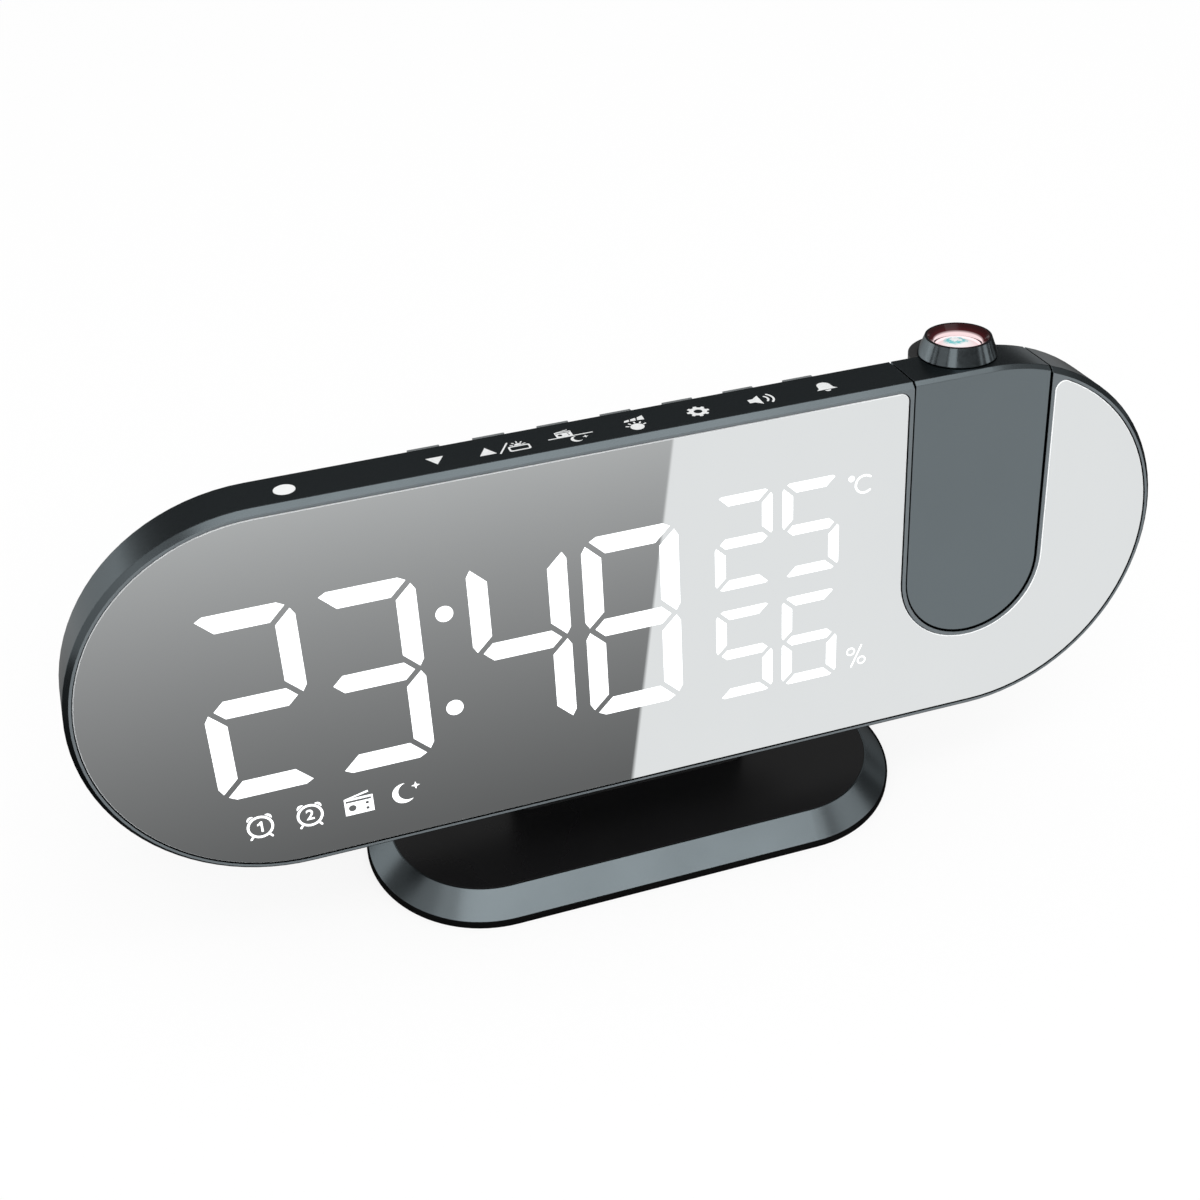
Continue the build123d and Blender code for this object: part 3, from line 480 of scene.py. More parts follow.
def painted_shell(name):
    """Black moulding whose outer side wall is lacquered like the bezel."""
    s = Shader(name, plastic_mean, 0.42, Specular_Tint=edge_tint, Specular_IOR_Level=1.0)
    skin, back_edge = 0.4, 0.05     # how far the lacquer's zone reaches into the wall
    across = s.maths("ABSOLUTE", s.along(head_centre, right))
    past_centre = s.maths("MAXIMUM", s.maths("SUBTRACT", across, arc_centre), 0.0)
    height = s.along(head_centre, up)
    squares = s.maths("POWER", past_centre, 2.0), s.maths("POWER", height, 2.0)
    reach = s.maths("SQRT", s.maths("ADD", *squares))
    on_wall = s.maths("GREATER_THAN", reach, half_height - skin)
    in_front = s.maths("GREATER_THAN", s.along(head_centre, outward), back_edge - wall_depth)
    painted = s.maths("MULTIPLY", on_wall, in_front)
    lacquer = s.tones(s.noise(*flake_noise), *paint_tones)
    plastic = s.tones(s.noise(*wear_noise), *plastic_tones)
    s.colour(s.mix(painted, plastic, lacquer))
    s.drive("Metallic", painted)
    s.drive("Roughness", s.spread(painted, 0.42, 0.23, 0.0, 1.0))
    s.bump(s.noise(*grain_noise), 0.008, 0.3, soft_edge)
    return s.material


def ring_finish(axis_point, ring_top):
    """Lacquered outside, a black rim, and a funnel painted dark red with a glow: painted light of
    the projector lamp.
    """
    s = Shader("ring_finish", paint_mean, 0.17, 1.0, Specular_Tint=edge_tint)
    funnel_radius, rim_radius, rim_depth = 5.2, 5.62, 0.06
    reach = s.from_axis(axis_point, up)
    height = s.along(axis_point, up)
    inside = s.maths("LESS_THAN", reach, funnel_radius)
    on_top = s.maths("GREATER_THAN", height, ring_top - rim_depth)
    rim = s.maths("MULTIPLY", s.maths("LESS_THAN", reach, rim_radius), on_top)
    turning = s.noise(900, 2.0, 0.5)
    outside = s.mix(rim, s.tones(turning, *paint_tones), (0.004, 0.004, 0.005))
    # the funnel's dark red colour is painted light of the projector lamp
    s.colour(s.mix(inside, outside, (0.025, 0.004, 0.005)))
    s.drive("Metallic", s.maths("SUBTRACT", 1.0, s.maths("MAXIMUM", inside, rim)))
    s.roughen(turning, 0.14, 0.2)
    # painted light of the lamp: a bright halo round the lens, then a glow that fades from the
    # funnel's root to its mouth
    root, mouth = ring_top - 1.3, ring_top - 0.3
    painted_glow = s.mix(s.spread(height, 0.0, 1.0, root, mouth), (0.07, 0.004, 0.007), (0.004, 0.0, 0.0))
    past_halo = s.spread(height, 0.0, 1.0, ring_top - 1.15, ring_top - 0.8)
    s.glow(s.mix(inside, unlit, s.mix(past_halo, (0.95, 0.75, 0.76), painted_glow)))
    s.bump(turning, 0.003, 0.2, soft_edge)
    return s.material


def inlay_black():
    """Smooth satin inlay of the foot."""
    s = Shader("inlay_black", (0.008, 0.008, 0.0085), 0.3)
    s.roughen(s.noise(35, 4.0), 0.24, 0.36)
    s.bump(s.noise(3800, 2.0), 0.004, 0.3, 0.1)
    return s.material


def grey_button():
    """Fine-grained grey caps."""
    s = Shader("grey_button", (0.17, 0.185, 0.19), 0.5)
    s.colour(s.tones(s.noise(160, 3.0), (0.155, 0.168, 0.172), (0.185, 0.2, 0.205)))
    s.bump(s.noise(*grain_noise), 0.012, 0.4, 0.2)
    return s.material


def mirror_glass():
    """Half-silvered panel: a clean mirror with the faintest smears, and a pale bevel edge whose
    colour is a painted highlight, with a painted glow that grows towards the right."""
    s = Shader("mirror_glass", (0.73, 0.75, 0.755), 0.02, 1.0)
    smear = s.noise(28, 5.0, 0.62, stretch=(1.0, 1.0, 0.45))
    s.drive("Roughness", s.spread(smear, 0.008, 0.045, 0.4, 0.75))
    silver = s.tones(smear, (0.722, 0.743, 0.748), (0.738, 0.757, 0.762))
    depth = s.along(head_centre, -outward)
    edge_start, edge_end = mirror_recess + 0.01, mirror_recess + 0.16
    edge = s.maths("MULTIPLY", s.maths("GREATER_THAN", depth, edge_start),
                   s.maths("LESS_THAN", depth, edge_end))
    # the bevel edge's pale colour is a painted highlight
    s.colour(s.mix(edge, silver, (0.85, 0.87, 0.88)))
    s.drive("Metallic", s.maths("SUBTRACT", 1.0, edge))
    # painted highlight: the bevel edge glows more towards the right
    painted_highlight_side = s.spread(s.along(head_centre, right), 0.0, 0.5, 20.0, 60.0)
    s.glow(s.mix(s.maths("MULTIPLY", edge, painted_highlight_side), unlit, white))
    return s.material


def lit_white():
    """Light of the display, seen through the mirror."""
    s = Shader("lit_white", (0.9, 0.92, 0.93), 0.35)
    s.glow(s.tones(s.noise(400, 2.0), (0.965, 0.975, 0.98), white))
    return s.material


def legend_ink():
    """White pad-printed ink."""
    s = Shader("legend_ink", (0.86, 0.87, 0.87), 0.55)
    speck = s.noise(2400, 3.0)
    s.colour(s.tones(speck, (0.8, 0.81, 0.81), (0.92, 0.93, 0.93)))
    s.bump(speck, 0.006, 0.3)
    return s.material


def sensor_white():
    """Milky window of the light sensor, with a faint painted glow."""
    s = Shader("sensor_white", (0.86, 0.87, 0.87), 0.3, Emission_Strength=0.12)
    # painted glow on the sensor window
    s.set("Emission Color", (*white, 1))
    s.bump(s.noise(2400, 2.0), 0.004, 0.2, 0.1)
    return s.material


def steel():
    """Bright steel with fine scratches."""
    s = Shader("steel", (0.5, 0.5, 0.51), 0.3, 1.0)
    scratch = s.noise(1400, 3.0, 0.6, stretch=(1.0, 6.0, 1.0))
    s.roughen(scratch, 0.24, 0.42)
    s.bump(scratch, 0.003, 0.4, 0.06)
    return s.material


def dark_screw():
    """Black-oxide finish of the screws."""
    s = Shader("dark_screw", (0.06, 0.06, 0.065), 0.34, 0.9)
    scratch = s.noise(1600, 3.0, 0.6)
    s.colour(s.tones(scratch, (0.045, 0.045, 0.05), (0.09, 0.09, 0.095)))
    s.bump(scratch, 0.003, 0.4, 0.06)
    return s.material


def bronze():
    """Friction washers."""
    s = Shader("bronze", (0.55, 0.36, 0.2), 0.32, 1.0)
    s.roughen(s.noise(1200, 3.0), 0.28, 0.42)
    return s.material


def rubber():
    """Matte pad under the foot."""
    s = Shader("rubber", (0.003, 0.003, 0.003), 0.8, Specular_IOR_Level=0.1)
    grain = s.noise(2600, 4.0, 0.65)
    s.colour(s.tones(grain, (0.002, 0.002, 0.002), (0.004, 0.004, 0.004)))
    s.bump(grain, 0.03, 0.5)
    return s.material


def matte_black(name="matte_black", base=(0.016, 0.016, 0.017)):
    """Dull moulding that is mostly out of sight."""
    s = Shader(name, base, 0.6)
    s.roughen(s.noise(300, 3.0), 0.5, 0.7)
    s.bump(s.noise(4200, 3.0), 0.01, 0.4, 0.08)
    return s.material


def circuit_board():
    """Green solder mask with the faint weave of the board under it."""
    s = Shader("circuit_board", (0.015, 0.12, 0.05), 0.3)
    weave = s.node("ShaderNodeTexWave", Scale=900.0, Distortion=0.5)
    s.link(s.place, weave.inputs["Vector"])
    s.colour(s.mix(weave.outputs["Fac"], (0.012, 0.1, 0.04), (0.02, 0.14, 0.06)))
    s.bump(weave.outputs["Fac"], 0.01, 0.3, 0.05)
    return s.material


def speaker_cone():
    """Black paper cone with a fibrous surface."""
    s = Shader("speaker_cone", (0.025, 0.024, 0.023), 0.8)
    fibre = s.noise(1800, 5.0, 0.7)
    s.colour(s.tones(fibre, (0.016, 0.016, 0.016), (0.04, 0.038, 0.036)))
    s.bump(fibre, 0.03, 0.6)
    return s.material


def clear_glass():
    """Optics inside the arm."""
    s = Shader("clear_glass", (0.95, 0.97, 0.98), 0.03, Transmission_Weight=1.0, IOR=1.5)
    s.roughen(s.noise(60, 3.0), 0.02, 0.05)
    return s.material


def lit_lens(centre, radius):
    """The projection lens with the lamp's light painted in it: a white heart, a cyan painted
    highlight round it and a rosy rim."""
    s = Shader("lit_lens", (0.03, 0.03, 0.035), 0.04, Coat_Weight=1.0, Coat_Roughness=0.02)
    # painted light of the lamp, as emission across the whole lens
    share = s.maths("DIVIDE", s.from_axis(centre, up), radius / MM)
    rosy = s.mix(s.spread(share, 0.0, 1.0, 0.35, 1.0), (1.0, 0.97, 0.97), (1.0, 0.66, 0.68))
    gleam = centre - outward * radius * 0.25
    near = s.maths("DIVIDE", s.from_axis(gleam, up), radius / MM)
    ragged = s.maths("MULTIPLY_ADD", s.noise(1300, 3.0, 0.7), 0.7, near)
    cyan = s.mix(s.spread(ragged, 1.0, 0.0, 0.74, 0.9), rosy, (0.16, 0.6, 0.62))
    s.glow(s.mix(s.spread(ragged, 1.0, 0.0, 0.54, 0.66), cyan, white))
    return s.material


def red_led():
    """The lit package of the projector's lamp."""
    s = Shader("red_led", (0.7, 0.03, 0.03), 0.3, Emission_Strength=1.0)
    s.set("Emission Color", (0.95, 0.12, 0.1, 1))
    s.bump(s.noise(900), 0.004, 0.2)
    return s.material


# ---- finishes of the CAD nodes -----------------------------------------------------------------
def give(material, *names):
    """Puts a material on CAD nodes."""
    for name in names:
        node = nodes[name]
        if not node.material_slots:
            node.data.materials.append(material)
        for slot in node.material_slots:
            slot.material = material


white_ink = legend_ink()
light = lit_white()
screw_metal = dark_screw()

give(gunmetal_paint(), "arm_front_cover", "foot_shell")
give(gunmetal_paint("bezel_paint", rubbed_rim=True), "front_bezel")
give(painted_shell("housing_shell"), "rear_housing")
give(painted_shell("arm_shell"), "arm_rear_cover")
give(black_plastic(), "neck", "battery_door")
give(inlay_black(), "foot_inlay")
give(grey_button(), *sorted(name for name in nodes if name.endswith("_button")))
give(mirror_glass(), "mirror_panel")
give(light, "digit_diffusers")
give(sensor_white(), "light_sensor_window")
give(matte_black(), "display_reflector", "lens_cell", "optics_holder", "battery_holder",
     "power_inlet")
give(matte_black("chip_black", (0.02, 0.02, 0.022)), "board_parts", "tact_switches")
give(circuit_board(), "main_board", "button_board", "projector_board")
give(speaker_cone(), "speaker")
give(steel(), "hinge_axle", "foot_screws", "neck_screws", "ballast_plate", "coin_cell")
give(bronze(), "friction_washers")
give(clear_glass(), "condenser_lens", "digit_slide")
give(rubber(), "foot_pad")
give(red_led(), "projector_led")
lens_low, lens_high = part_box("projection_lens")
lens_centre = (lens_low + lens_high) / 2
lens_radius = (lens_high.x - lens_low.x) / 2
give(lit_lens(lens_centre, lens_radius), "projection_lens")
ring_top = max((v.co - lens_centre).dot(up) for v in nodes["focus_ring"].data.vertices) / MM
give(ring_finish(lens_centre, ring_top), "focus_ring")


# ---- the display -------------------------------------------------------------------------------
def segment_loops(cx, cy, size, stroke, gap, cut, shown):
    """Mitred bars of one seven-segment digit, named a to g as usual."""
    w, h, half = size[0] / 2, size[1] / 2, stroke / 2
    corner = gap / math.sqrt(2)
    inner = 2 * corner - half
    slope = 2.75 * cut              # run of the cut along the bar
    top = [
        (-w + cut + corner, h - cut), (-w + slope + corner, h),
        (w - slope - corner, h), (w - cut - corner, h - cut),
        (w - stroke - corner, h - stroke), (-w + stroke + corner, h - stroke),
    ]
    upper = [
        (-w + cut, h - cut - corner), (-w + stroke, h - stroke - corner),
        (-w + stroke, inner + stroke), (-w + cut, inner + cut),
        (-w, inner + slope), (-w, h - slope - corner),
    ]
    middle = [
        (half - w, 0), (stroke - w, half), (w - stroke, half),
        (w - half, 0), (w - stroke, -half), (stroke - w, -half),
    ]
    bars = {
        "a": top, "d": [(x, -y) for x, y in top],
        "f": upper, "b": [(-x, y) for x, y in upper],
        "e": [(x, -y) for x, y in upper], "c": [(-x, -y) for x, y in upper], "g": middle,
    }
    return [moved(bars[name], cx, cy) for name in shown]


def lit(name, loops):
    """A lit shape of the display."""
    printed(name, loops, face_plane(), light)


def bell_cap(cx, cy, tilt, ring):
    """A domed bell that hugs a ring, with a fine gap between them."""
    away, dome, clear = ring - 0.12, 0.72, ring + 0.2
    swing = math.degrees(math.acos((away ** 2 + clear ** 2 - dome ** 2) / (2 * away * clear)))
    open_angle = math.degrees(math.acos((clear * math.cos(math.radians(swing)) - away) / dome))
    outer = arc(*polar(cx, cy, away, tilt), dome, tilt - open_angle, tilt + open_angle, 18)
    return outer + arc(cx, cy, clear, tilt + swing, tilt - swing, 8)


def alarm_symbol(name, cx, cy, number):
    """A round alarm clock with two bells and two feet, and its number."""
    outer, inner, foot_length, foot_width = 2.22, 1.8, 0.62, 0.36
    loops = [circle(cx, cy, outer), circle(cx, cy, inner)]
    loops += [bell_cap(cx, cy, tilt, outer) for tilt in (50, 128)]
    feet = [ray(cx, cy, outer - 0.05, outer + foot_length, tilt, foot_width)
            for tilt in (-53, -129)]
    plane = face_plane()
    shapes = [outline_mesh(part, plane) for part in (loops, feet)]
    if number == "1":
        stem = [(0.06, -1.05), (0.42, -1.05), (0.42, 1.05), (0.1, 1.05),
                (-0.12, 0.78), (-0.48, 0.58), (-0.48, 0.26), (0.06, 0.45)]
        shapes.append(outline_mesh([moved(stem, cx, cy)], plane))
    else:
        shapes.append(number_mesh(number, 2.85, cx, cy, plane))
    mesh_object(name, join_meshes(shapes), "clock", light)


def radio_loops(cx, cy, scale=1.0):
    """A table radio: case with a dial slit, a speaker and two knobs, and its aerial."""
    def at(x, y):
        return cx + x * scale, cy + y * scale

    return [
        box_loop(*at(0, -0.28), 4.85 * scale, 3.34 * scale),
        box_loop(*at(-0.02, 0.78), 4.3 * scale, 0.44 * scale),
        circle(*at(-1.15, -0.6), 0.66 * scale, 24),
        circle(*at(1.37, -0.07), 0.31 * scale, 12),
        circle(*at(1.37, -1.18), 0.31 * scale, 12),
        [at(-2.42, 1.43), at(-1.35, 1.43), at(1.8, 2.06), at(1.7, 2.4)],
    ]


def display():
    """Every lit digit, mark and symbol, as thin shapes on the mirror."""
    for place, (x, digit) in enumerate(big_digits):
        lit(f"time_digit_{place + 1}", segment_loops(
            x, time_row, big_size, big_stroke, big_gap, big_cut, lit_segments[digit]))
    lit("time_colon", [circle(colon_place, time_row + side * colon_spacing, colon_radius)
                       for side in (1, -1)])
    for name, (y, digits) in small_rows.items():
        for place, (x, digit) in enumerate(zip(small_columns, digits)):
            lit(f"{name}_digit_{place + 1}", segment_loops(
                x, y, small_size, small_stroke, small_gap, small_cut, lit_segments[digit]))
    lit("celsius_mark", [circle(*degree_ring), bow(*degree_letter)])
    rings = [circle(x, y, radius, 32) for x, y in percent_rings for radius in percent_radii]
    lit("percent_mark", [line(*percent_bar)] + rings)
    for number, x in alarm_places.items():
        alarm_symbol(f"alarm_{number}_symbol", x, symbol_row, number)
    lit("radio_symbol", radio_loops(radio_place, symbol_row))
    moon = crescent(moon_place, symbol_row, 2.0, moon_tilt)
    lit("sleep_symbol", [moon, star(moon_place + 2.1, symbol_row + 1.1, 0.75)])


# ---- printed legends ---------------------------------------------------------------------------
def gear_loops(cx, cy, radius):
    """A gear with eight teeth and a round hole."""
    root, teeth = radius * 0.78, 8
    loop = []
    for i in range(teeth):
        for offset, reach in ((-13, root), (-8, radius), (8, radius), (13, root)):
            loop.append(polar(cx, cy, reach, 360 / teeth * i + offset))
    return [loop, circle(cx, cy, radius * 0.38, 24)]


def speaker_loops(cx, cy):
    """A loudspeaker with two sound waves."""
    horn = [(-1.9, -0.5), (-1.2, -0.5), (-0.3, -1.3), (-0.3, 1.3), (-1.2, 0.5), (-1.9, 0.5)]
    waves = [bow(cx - 0.3, cy, radius, -42, 42, 0.28) for radius in (1.05, 1.75)]
    return [moved(horn, cx, cy)] + waves


def bell_loops(cx, cy):
    """A hand bell with its clapper."""
    body = [(cx - 1.5, cy - 0.8), (cx - 1.05, cy - 0.35), (cx - 0.95, cy + 0.5)]
    body += arc(cx, cy + 0.5, 0.95, 180, 0, 16)
    body += [(cx + 1.05, cy - 0.35), (cx + 1.5, cy - 0.8)]
    return [body, arc(cx, cy - 0.98, 0.42, 180, 360, 10)]


def light_loops(cx, cy):
    """A half sun with rays over a long flat box: the bar that is tapped for light."""
    bar = [box_loop(cx, cy - 0.75, 3.5, 1.75, 0.35), box_loop(cx, cy - 0.75, 2.9, 1.15, 0.2)]
    sun = arc(cx, cy + 0.25, 0.6, 0, 180, 12)
    rays = [ray(cx, cy + 0.3, 0.85, 1.2, angle, 0.22) for angle in (10, 50, 90, 130, 170)]
    return bar + [sun] + rays


def projector_loops(cx, cy):
    """A shining disc that throws a row of blocks, each larger than the last."""
    low = cy - 1.3
    rays = [ray(cx, low, 1.4, 1.75, angle, 0.28) for angle in (25, 57, 90, 123, 158)]
    row = (
        ((-1.5, 2.15), (-0.62, 2.25), (-0.5, 2.9), (-1.32, 2.75)),
        ((-0.4, 2.25), (0.48, 2.25), (0.68, 3.15), (-0.24, 2.95)),
        ((0.72, 2.25), (1.88, 2.13), (1.96, 3.65), (0.96, 3.2)),
    )
    return [circle(cx, low, 1.13)] + rays + [moved(block, cx, low) for block in row]


def grown(loops, cx, cy, scale):
    """Loops enlarged about a centre."""
    return [[(cx + (x - cx) * scale, cy + (y - cy) * scale) for x, y in loop] for loop in loops]


def legends():
    """White symbols in the places of the printed words, one over each button."""
    y = legend_depth
    pointing_down = [(-33.65, y + 1.25), (-30.85, y + 1.25), (-32.25, y - 1.25)]
    pointing_up = [(-25.55, y - 1.3), (-22.85, y - 1.3), (-24.2, y + 1.25)]
    slash = line(-22.3, y - 1.65, -20.55, y + 1.45, 0.28)
    rule = line(-14.1, y - 0.15, -7.0, y - 0.15, 0.24)
    moon = [crescent(-9.9, y - 1.5, 1.0, moon_tilt), star(-8.4, y - 1.2, 0.5)]
    rows = {
        "down_legend": [pointing_down],
        "up_legend": [pointing_up, slash] + light_loops(-19.05, y - 0.1),
        "radio_legend": radio_loops(-11.4, y + 1.0, 0.55) + [rule] + moon,
        "projection_legend": projector_loops(0.19, y),
        "set_legend": gear_loops(10.9, y, 1.85),
        "volume_legend": grown(speaker_loops(22.0, y), 22.0, y, 1.25),
        "alarm_legend": grown(bell_loops(33.1, y + 0.15), 33.1, y, 1.2),
    }
    for name, loops in rows.items():
        printed(name, loops, top_plane(), white_ink)


# ---- fasteners ---------------------------------------------------------------------------------
screw_turn = 37     # degrees from one screw's cross to the next


def islands(node):
    """Vertices of each separate solid in a CAD node, in the order of the mesh."""
    work = bmesh.new()
    work.from_mesh(node.data)
    bmesh.ops.remove_doubles(work, verts=work.verts, dist=1e-6)
    left = set(work.verts)
    groups = []
    for first in work.verts:
        if first not in left:
            continue
        left.remove(first)
        queue, group = [first], []
        while queue:
            vert = queue.pop()
            group.append(vert.co.copy())
            for edge in vert.link_edges:
                other = edge.other_vert(vert)
                if other in left:
                    left.remove(other)
                    queue.append(other)
        groups.append(group)
    work.free()
    return groups


def screw_mesh(plane, head_radius, head_height, shank_radius, length):
    """Pan-head screw with a cross recess; the plane's normal points out of the head."""
    rim, point, dome_steps = head_height * 0.45, 0.5, 6
    profile = [(0, -length), (shank_radius * 0.6, -length), (shank_radius, -length + point),
               (shank_radius, 0), (head_radius, 0), (head_radius, rim)]
    for i in range(1, dome_steps):
        t = math.radians(90 / dome_steps * i)
        profile.append((head_radius * math.cos(t), rim + (head_height - rim) * math.sin(t)))
    profile.append((0, head_height))
    body = bpy.data.objects.new("screw", lathe(profile))

    arm, width, depth = head_radius * 0.62, head_radius * 0.2, head_height * 0.75
    above, taper = 0.3, 0.55
    cross = bmesh.new()
    for along, across in ((arm, width), (width, arm)):
        for vert in bmesh.ops.create_cube(cross, size=1.0)["verts"]:
            top = vert.co.z > 0
            share = 1.0 if top else taper
            vert.co.x *= 2 * along * share
            vert.co.y *= 2 * across * share
            vert.co.z = head_height + (above if top else -depth)
    cutter_mesh = bpy.data.meshes.new("cross")
    cross.to_mesh(cutter_mesh)
    cross.free()
    cutter = bpy.data.objects.new("cross", cutter_mesh)

    for piece in (body, cutter):
        bpy.context.scene.collection.objects.link(piece)
    cut = body.modifiers.new("cut", "BOOLEAN")
    cut.operation, cut.object, cut.solver, cut.use_self = "DIFFERENCE", cutter, "EXACT", True
    bpy.context.view_layer.update()
    graph = bpy.context.evaluated_depsgraph_get()
    mesh = bpy.data.meshes.new_from_object(body.evaluated_get(graph))
    bpy.data.objects.remove(body)
    bpy.data.objects.remove(cutter)
    mesh.transform(plane)
    return mesh


def screws(name, node_name, body):
    """Detailed screws in the places of a CAD node's plain ones, each turned its own way."""
    meshes = []
    for points in islands(nodes[node_name]):
        local = [in_head(point) for point in points]
        low = [min(p[i] for p in local) for i in range(3)]
        high = [max(p[i] for p in local) for i in range(3)]
        x, y = (low[0] + high[0]) / 2, (low[1] + high[1]) / 2
        radius = (high[0] - low[0]) / 2
        under_head = min(p[2] for p in local if abs(p[0] - x) > radius * 0.8)
        turn = Matrix.Rotation(math.radians(screw_turn * len(meshes)), 4, "Z")
        plane = placed(-right, up, -outward, on_head(x, y, under_head)) @ turn
        head_height, length = high[2] - under_head, under_head - low[2]
        meshes.append(screw_mesh(plane, radius, head_height, radius / 2, length))
    piece = mesh_object(name, join_meshes(meshes), body, screw_metal)
    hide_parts(node_name)


# ---- back details ------------------------------------------------------------------------------
def door_marks():
    """Turn arrow printed over the battery door's slot."""
    low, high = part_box("battery_door")
    x, y, _ = in_head((low + high) / 2)
    back = max(in_head(vert.co)[2] for vert in nodes["battery_door"].data.vertices)
    plane = back_plane(back) @ Matrix.Translation((-x, y, 0))
    radius, start, stop, stroke = 9.2, 52, 128, 0.5
    head_half, head_length = 0.95, 1.9
    aside = Vector(polar(0, 0, 1, start))
    ahead = Vector((aside.y, -aside.x))
    foot = aside * radius
    shaft = arc(0, 0, radius + stroke / 2, start, stop)
    shaft += arc(0, 0, radius - stroke / 2, stop, start)
    head = [foot - aside * head_half, foot + ahead * head_length, foot + aside * head_half]
    printed("door_arrow", [shaft + [tuple(point) for point in head]], plane, white_ink)


# ---- stage -------------------------------------------------------------------------------------
# Metres.  The pale zone's edge in the mirror falls on a line of the floor through two points.
glare_far = (0.0856, -0.2484)
glare_near = (0.0053, -0.0481)
glare_blur = 0.0004
floor_reach = 12.0
paper_white = 0.9
camera_white = 1.03                 # the floor's own light towards the camera, and its share:
camera_share = 0.8                  # the rest is paper that takes the object's shadow
sky_light = 0.8
room_low, room_high = 0.09, 0.3     # the room that gloss shows, level and overhead
lamp_aim = Vector((0, 0, 0.04))
lamp_distance = 1.0


class Stage:
    """Node helpers for the floor and the world."""

    def __init__(self, tree):
        self.tree = tree
        tree.nodes.clear()
        self.path = self.add("ShaderNodeLightPath")

    def add(self, kind, *links, **values):
        """A node whose first inputs take the given outputs, numbers or vectors."""
        made = self.tree.nodes.new(kind)
        for key, value in values.items():
            setattr(made, key, value)
        for socket, source in zip(made.inputs, links):
            if isinstance(source, bpy.types.NodeSocket):
                self.tree.links.new(source, socket)
            else:
                socket.default_value = source
        return made

    def ramp(self, source, start, stop, low=0.0, high=1.0):
        return self.add("ShaderNodeMapRange", source, start, stop, low, high).outputs[0]

    def maths(self, operation, *terms):
        return self.add("ShaderNodeMath", *terms, operation=operation).outputs[0]

    def blend(self, share, first, second):
        """A number that runs from first to second."""
        rest = self.maths("SUBTRACT", 1.0, share)
        return self.maths("ADD", self.maths("MULTIPLY", rest, first),
                          self.maths("MULTIPLY", share, second))

    def choose(self, kind, otherwise, shader):
        """One shader for a kind of ray, and another for the rest."""
        is_kind = self.path.outputs[kind]
        return self.add("ShaderNodeMixShader", is_kind, otherwise, shader).outputs[0]


def floor():
    """Near white to the camera, with the object's soft shadow, and a toned sweep to gloss and
    the mirror."""
    mesh = bpy.data.meshes.new("floor")
    sides = ((-1, -1), (1, -1), (1, 1), (-1, 1))
    corners = [(x * floor_reach, y * floor_reach, 0) for x, y in sides]
    mesh.from_pydata(corners, [], [(0, 1, 2, 3)])
    piece = bpy.data.objects.new("floor", mesh)
    bpy.context.scene.collection.objects.link(piece)
    material = bpy.data.materials.new("pale_floor")
    material.use_nodes = True
    mesh.materials.append(material)
    s = Stage(material.node_tree)
    tone = floor_tone(s)
    paper = s.add("ShaderNodeBsdfDiffuse", (paper_white, paper_white, paper_white, 1)).outputs[0]
    glow = s.add("ShaderNodeEmission", (*white, 1), camera_white).outputs[0]
    to_camera = s.add("ShaderNodeMixShader", camera_share, paper, glow).outputs[0]
    sheen = s.add("ShaderNodeEmission", (*white, 1), tone).outputs[0]
    plain = s.choose("Is Camera Ray", paper, to_camera)
    s.add("ShaderNodeOutputMaterial", s.choose("Is Glossy Ray", plain, sheen))


def floor_tone(s):
    """Brightness of the floor as gloss sees it, zone by zone."""
    position = s.add("ShaderNodeNewGeometry").outputs["Position"]
    split = s.add("ShaderNodeSeparateXYZ", position)
    x, y = split.outputs[0], split.outputs[1]

    # what the mirror shows: a pale zone past the glare edge, and a darker sweep before it
    run = Vector((glare_far[0] - glare_near[0], glare_far[1] - glare_near[1], 0)).normalized()
    normal = (-run.y, run.x, 0)
    start = (*glare_near, 0)
    offset = s.add("ShaderNodeVectorMath", position, start, operation="SUBTRACT").outputs[0]
    across = s.add("ShaderNodeVectorMath", offset, normal, operation="DOT_PRODUCT")
    pale = s.ramp(across.outputs["Value"], -glare_blur, glare_blur)
    before = s.blend(pale, s.ramp(y, -0.05, -0.26, 0.16, 0.56), 1.0)

    # painted shadow, as gloss sees the floor: it is dark under the object, and the sweep behind it
    # brightens with distance
    near_foot = s.maths("MULTIPLY", s.ramp(x, 0.048, 0.06), s.ramp(x, 0.13, 0.112))
    painted_shadow_band = s.maths("MULTIPLY", s.blend(near_foot, 0.05, 0.4), s.ramp(y, 0.1, 0.05))
    slanted = s.maths("SUBTRACT", y, s.maths("MULTIPLY", x, 0.3))
    behind_left = s.ramp(y, 0.045, 0.13, 0.05, 1.0)
    behind_right = s.ramp(slanted, 0.06, 0.22, 0.05, 0.8)
    behind = s.blend(s.ramp(x, -0.03, 0.06), behind_left, behind_right)
    tone = s.blend(s.ramp(y, -0.04, -0.02), before, s.maths("MAXIMUM", behind, painted_shadow_band))

    # dark again to the left of the head's round end
    card = s.maths("MULTIPLY", s.ramp(x, -0.106, -0.126), s.ramp(y, 0.05, 0.02))
    return s.blend(card, tone, s.ramp(x, -0.14, -0.27, 0.015, 0.06))


def world():
    """White to the camera, an even grey sky for light, and a dark room to gloss, paler overhead."""
    scene_world = bpy.data.worlds.new("studio")
    bpy.context.scene.world = scene_world
    scene_world.use_nodes = True
    s = Stage(scene_world.node_tree)
    direction = s.add("ShaderNodeTexCoord").outputs["Generated"]
    height = s.add("ShaderNodeSeparateXYZ", direction).outputs[2]
    sheen = s.ramp(height, 0.3, 0.75, room_low, room_high)
    sky, room, backdrop = (s.add("ShaderNodeBackground", (*white, 1), level).outputs[0]
                           for level in (sky_light, sheen, 1.0))
    unseen = s.choose("Is Glossy Ray", sky, room)
    s.add("ShaderNodeOutputWorld", s.choose("Is Camera Ray", unseen, backdrop))


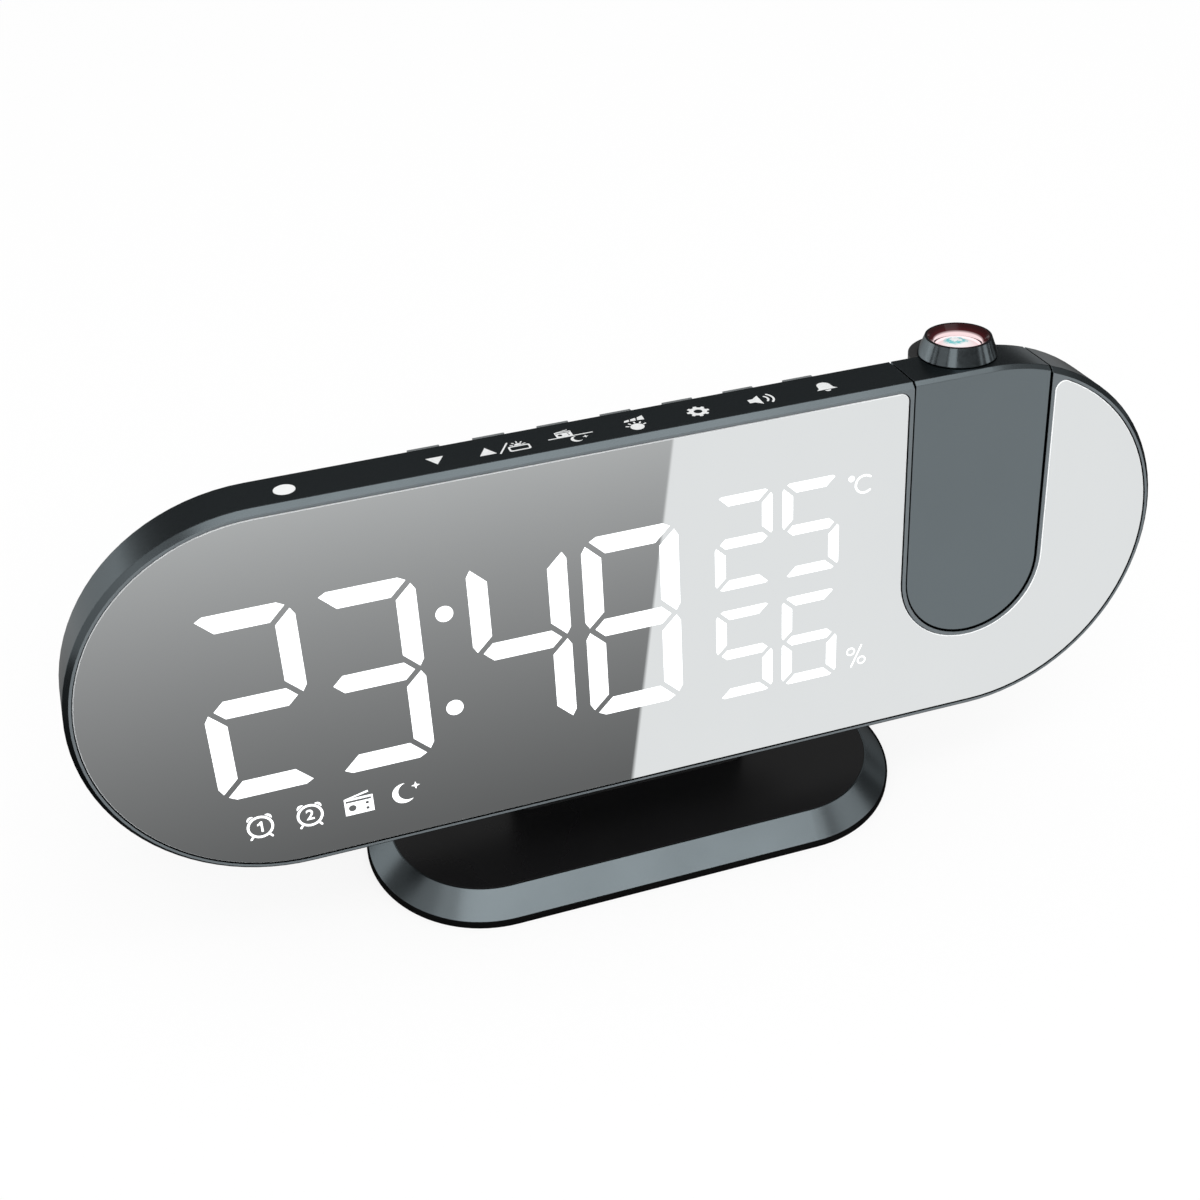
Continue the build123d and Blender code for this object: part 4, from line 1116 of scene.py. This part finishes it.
def softbox(name, azimuth, elevation, distance, size, radiance, gloss_only=False):
    """Area lamp that faces the object; azimuth runs from the front to the right, in degrees."""
    lamp = bpy.data.lights.new(name, "AREA")
    lamp.shape = "RECTANGLE"
    lamp.size, lamp.size_y = size
    lamp.energy = radiance * math.pi * size[0] * size[1]
    turn, lift = math.radians(azimuth), math.radians(elevation)
    way = Vector((math.sin(turn) * math.cos(lift), -math.cos(turn) * math.cos(lift),
                  math.sin(lift)))
    piece = bpy.data.objects.new(name, lamp)
    piece.location = lamp_aim + way * distance
    piece.rotation_euler = way.to_track_quat("Z", "Y").to_euler()
    piece.visible_camera = False
    piece.visible_diffuse = not gloss_only
    bpy.context.scene.collection.objects.link(piece)


def lamps():
    """Two softboxes that light the object, and cards of light that only its gloss shows."""
    for name, azimuth, elevation, size, radiance in (
        ("front_box", -4, 43.5, (1.2, 0.28), 1.75),
        ("top_box", 15, 73, (1.0, 0.36), 1.35),
    ):
        softbox(name, azimuth, elevation, lamp_distance, size, radiance)
    for name, azimuth, elevation, size, radiance in (
        ("left_card", -76, 22, (0.5, 0.8), 0.38),
        ("left_high_card", -56, 42, (0.25, 0.3), 0.75),
        ("front_left_strip", -42, 20, (0.42, 0.4), 1.15),
        ("side_left_strip", -100, 7, (0.22, 0.2), 0.8),
        ("back_left_card", -131, 12, (0.64, 0.4), 1.0),
        ("right_card", 62, 26, (0.55, 0.33), 0.85),
        ("right_strip", 69, 7, (0.24, 0.24), 1.0),
    ):
        softbox(name, azimuth, elevation, lamp_distance, size, radiance, gloss_only=True)
    softbox("foot_card", 106, 1, 0.4, (0.16, 0.05), 0.3, gloss_only=True)


def camera():
    """The photo's camera."""
    data = bpy.data.cameras.new("camera")
    data.lens = camera_lens
    data.sensor_width = camera_sensor
    data.clip_start = 0.01
    piece = bpy.data.objects.new("camera", data)
    piece.location = camera_place
    piece.rotation_euler = (math.radians(90 - camera_elevation), 0, math.radians(-camera_azimuth))
    bpy.context.scene.collection.objects.link(piece)
    bpy.context.scene.camera = piece


camera()
floor()
world()
lamps()
display()
legends()
screws("housing_screw_set", "housing_screws", "clock")
screws("arm_screw_set", "arm_screws", "projector_arm")
door_marks()

bpy.context.scene.view_settings.view_transform = "Standard"
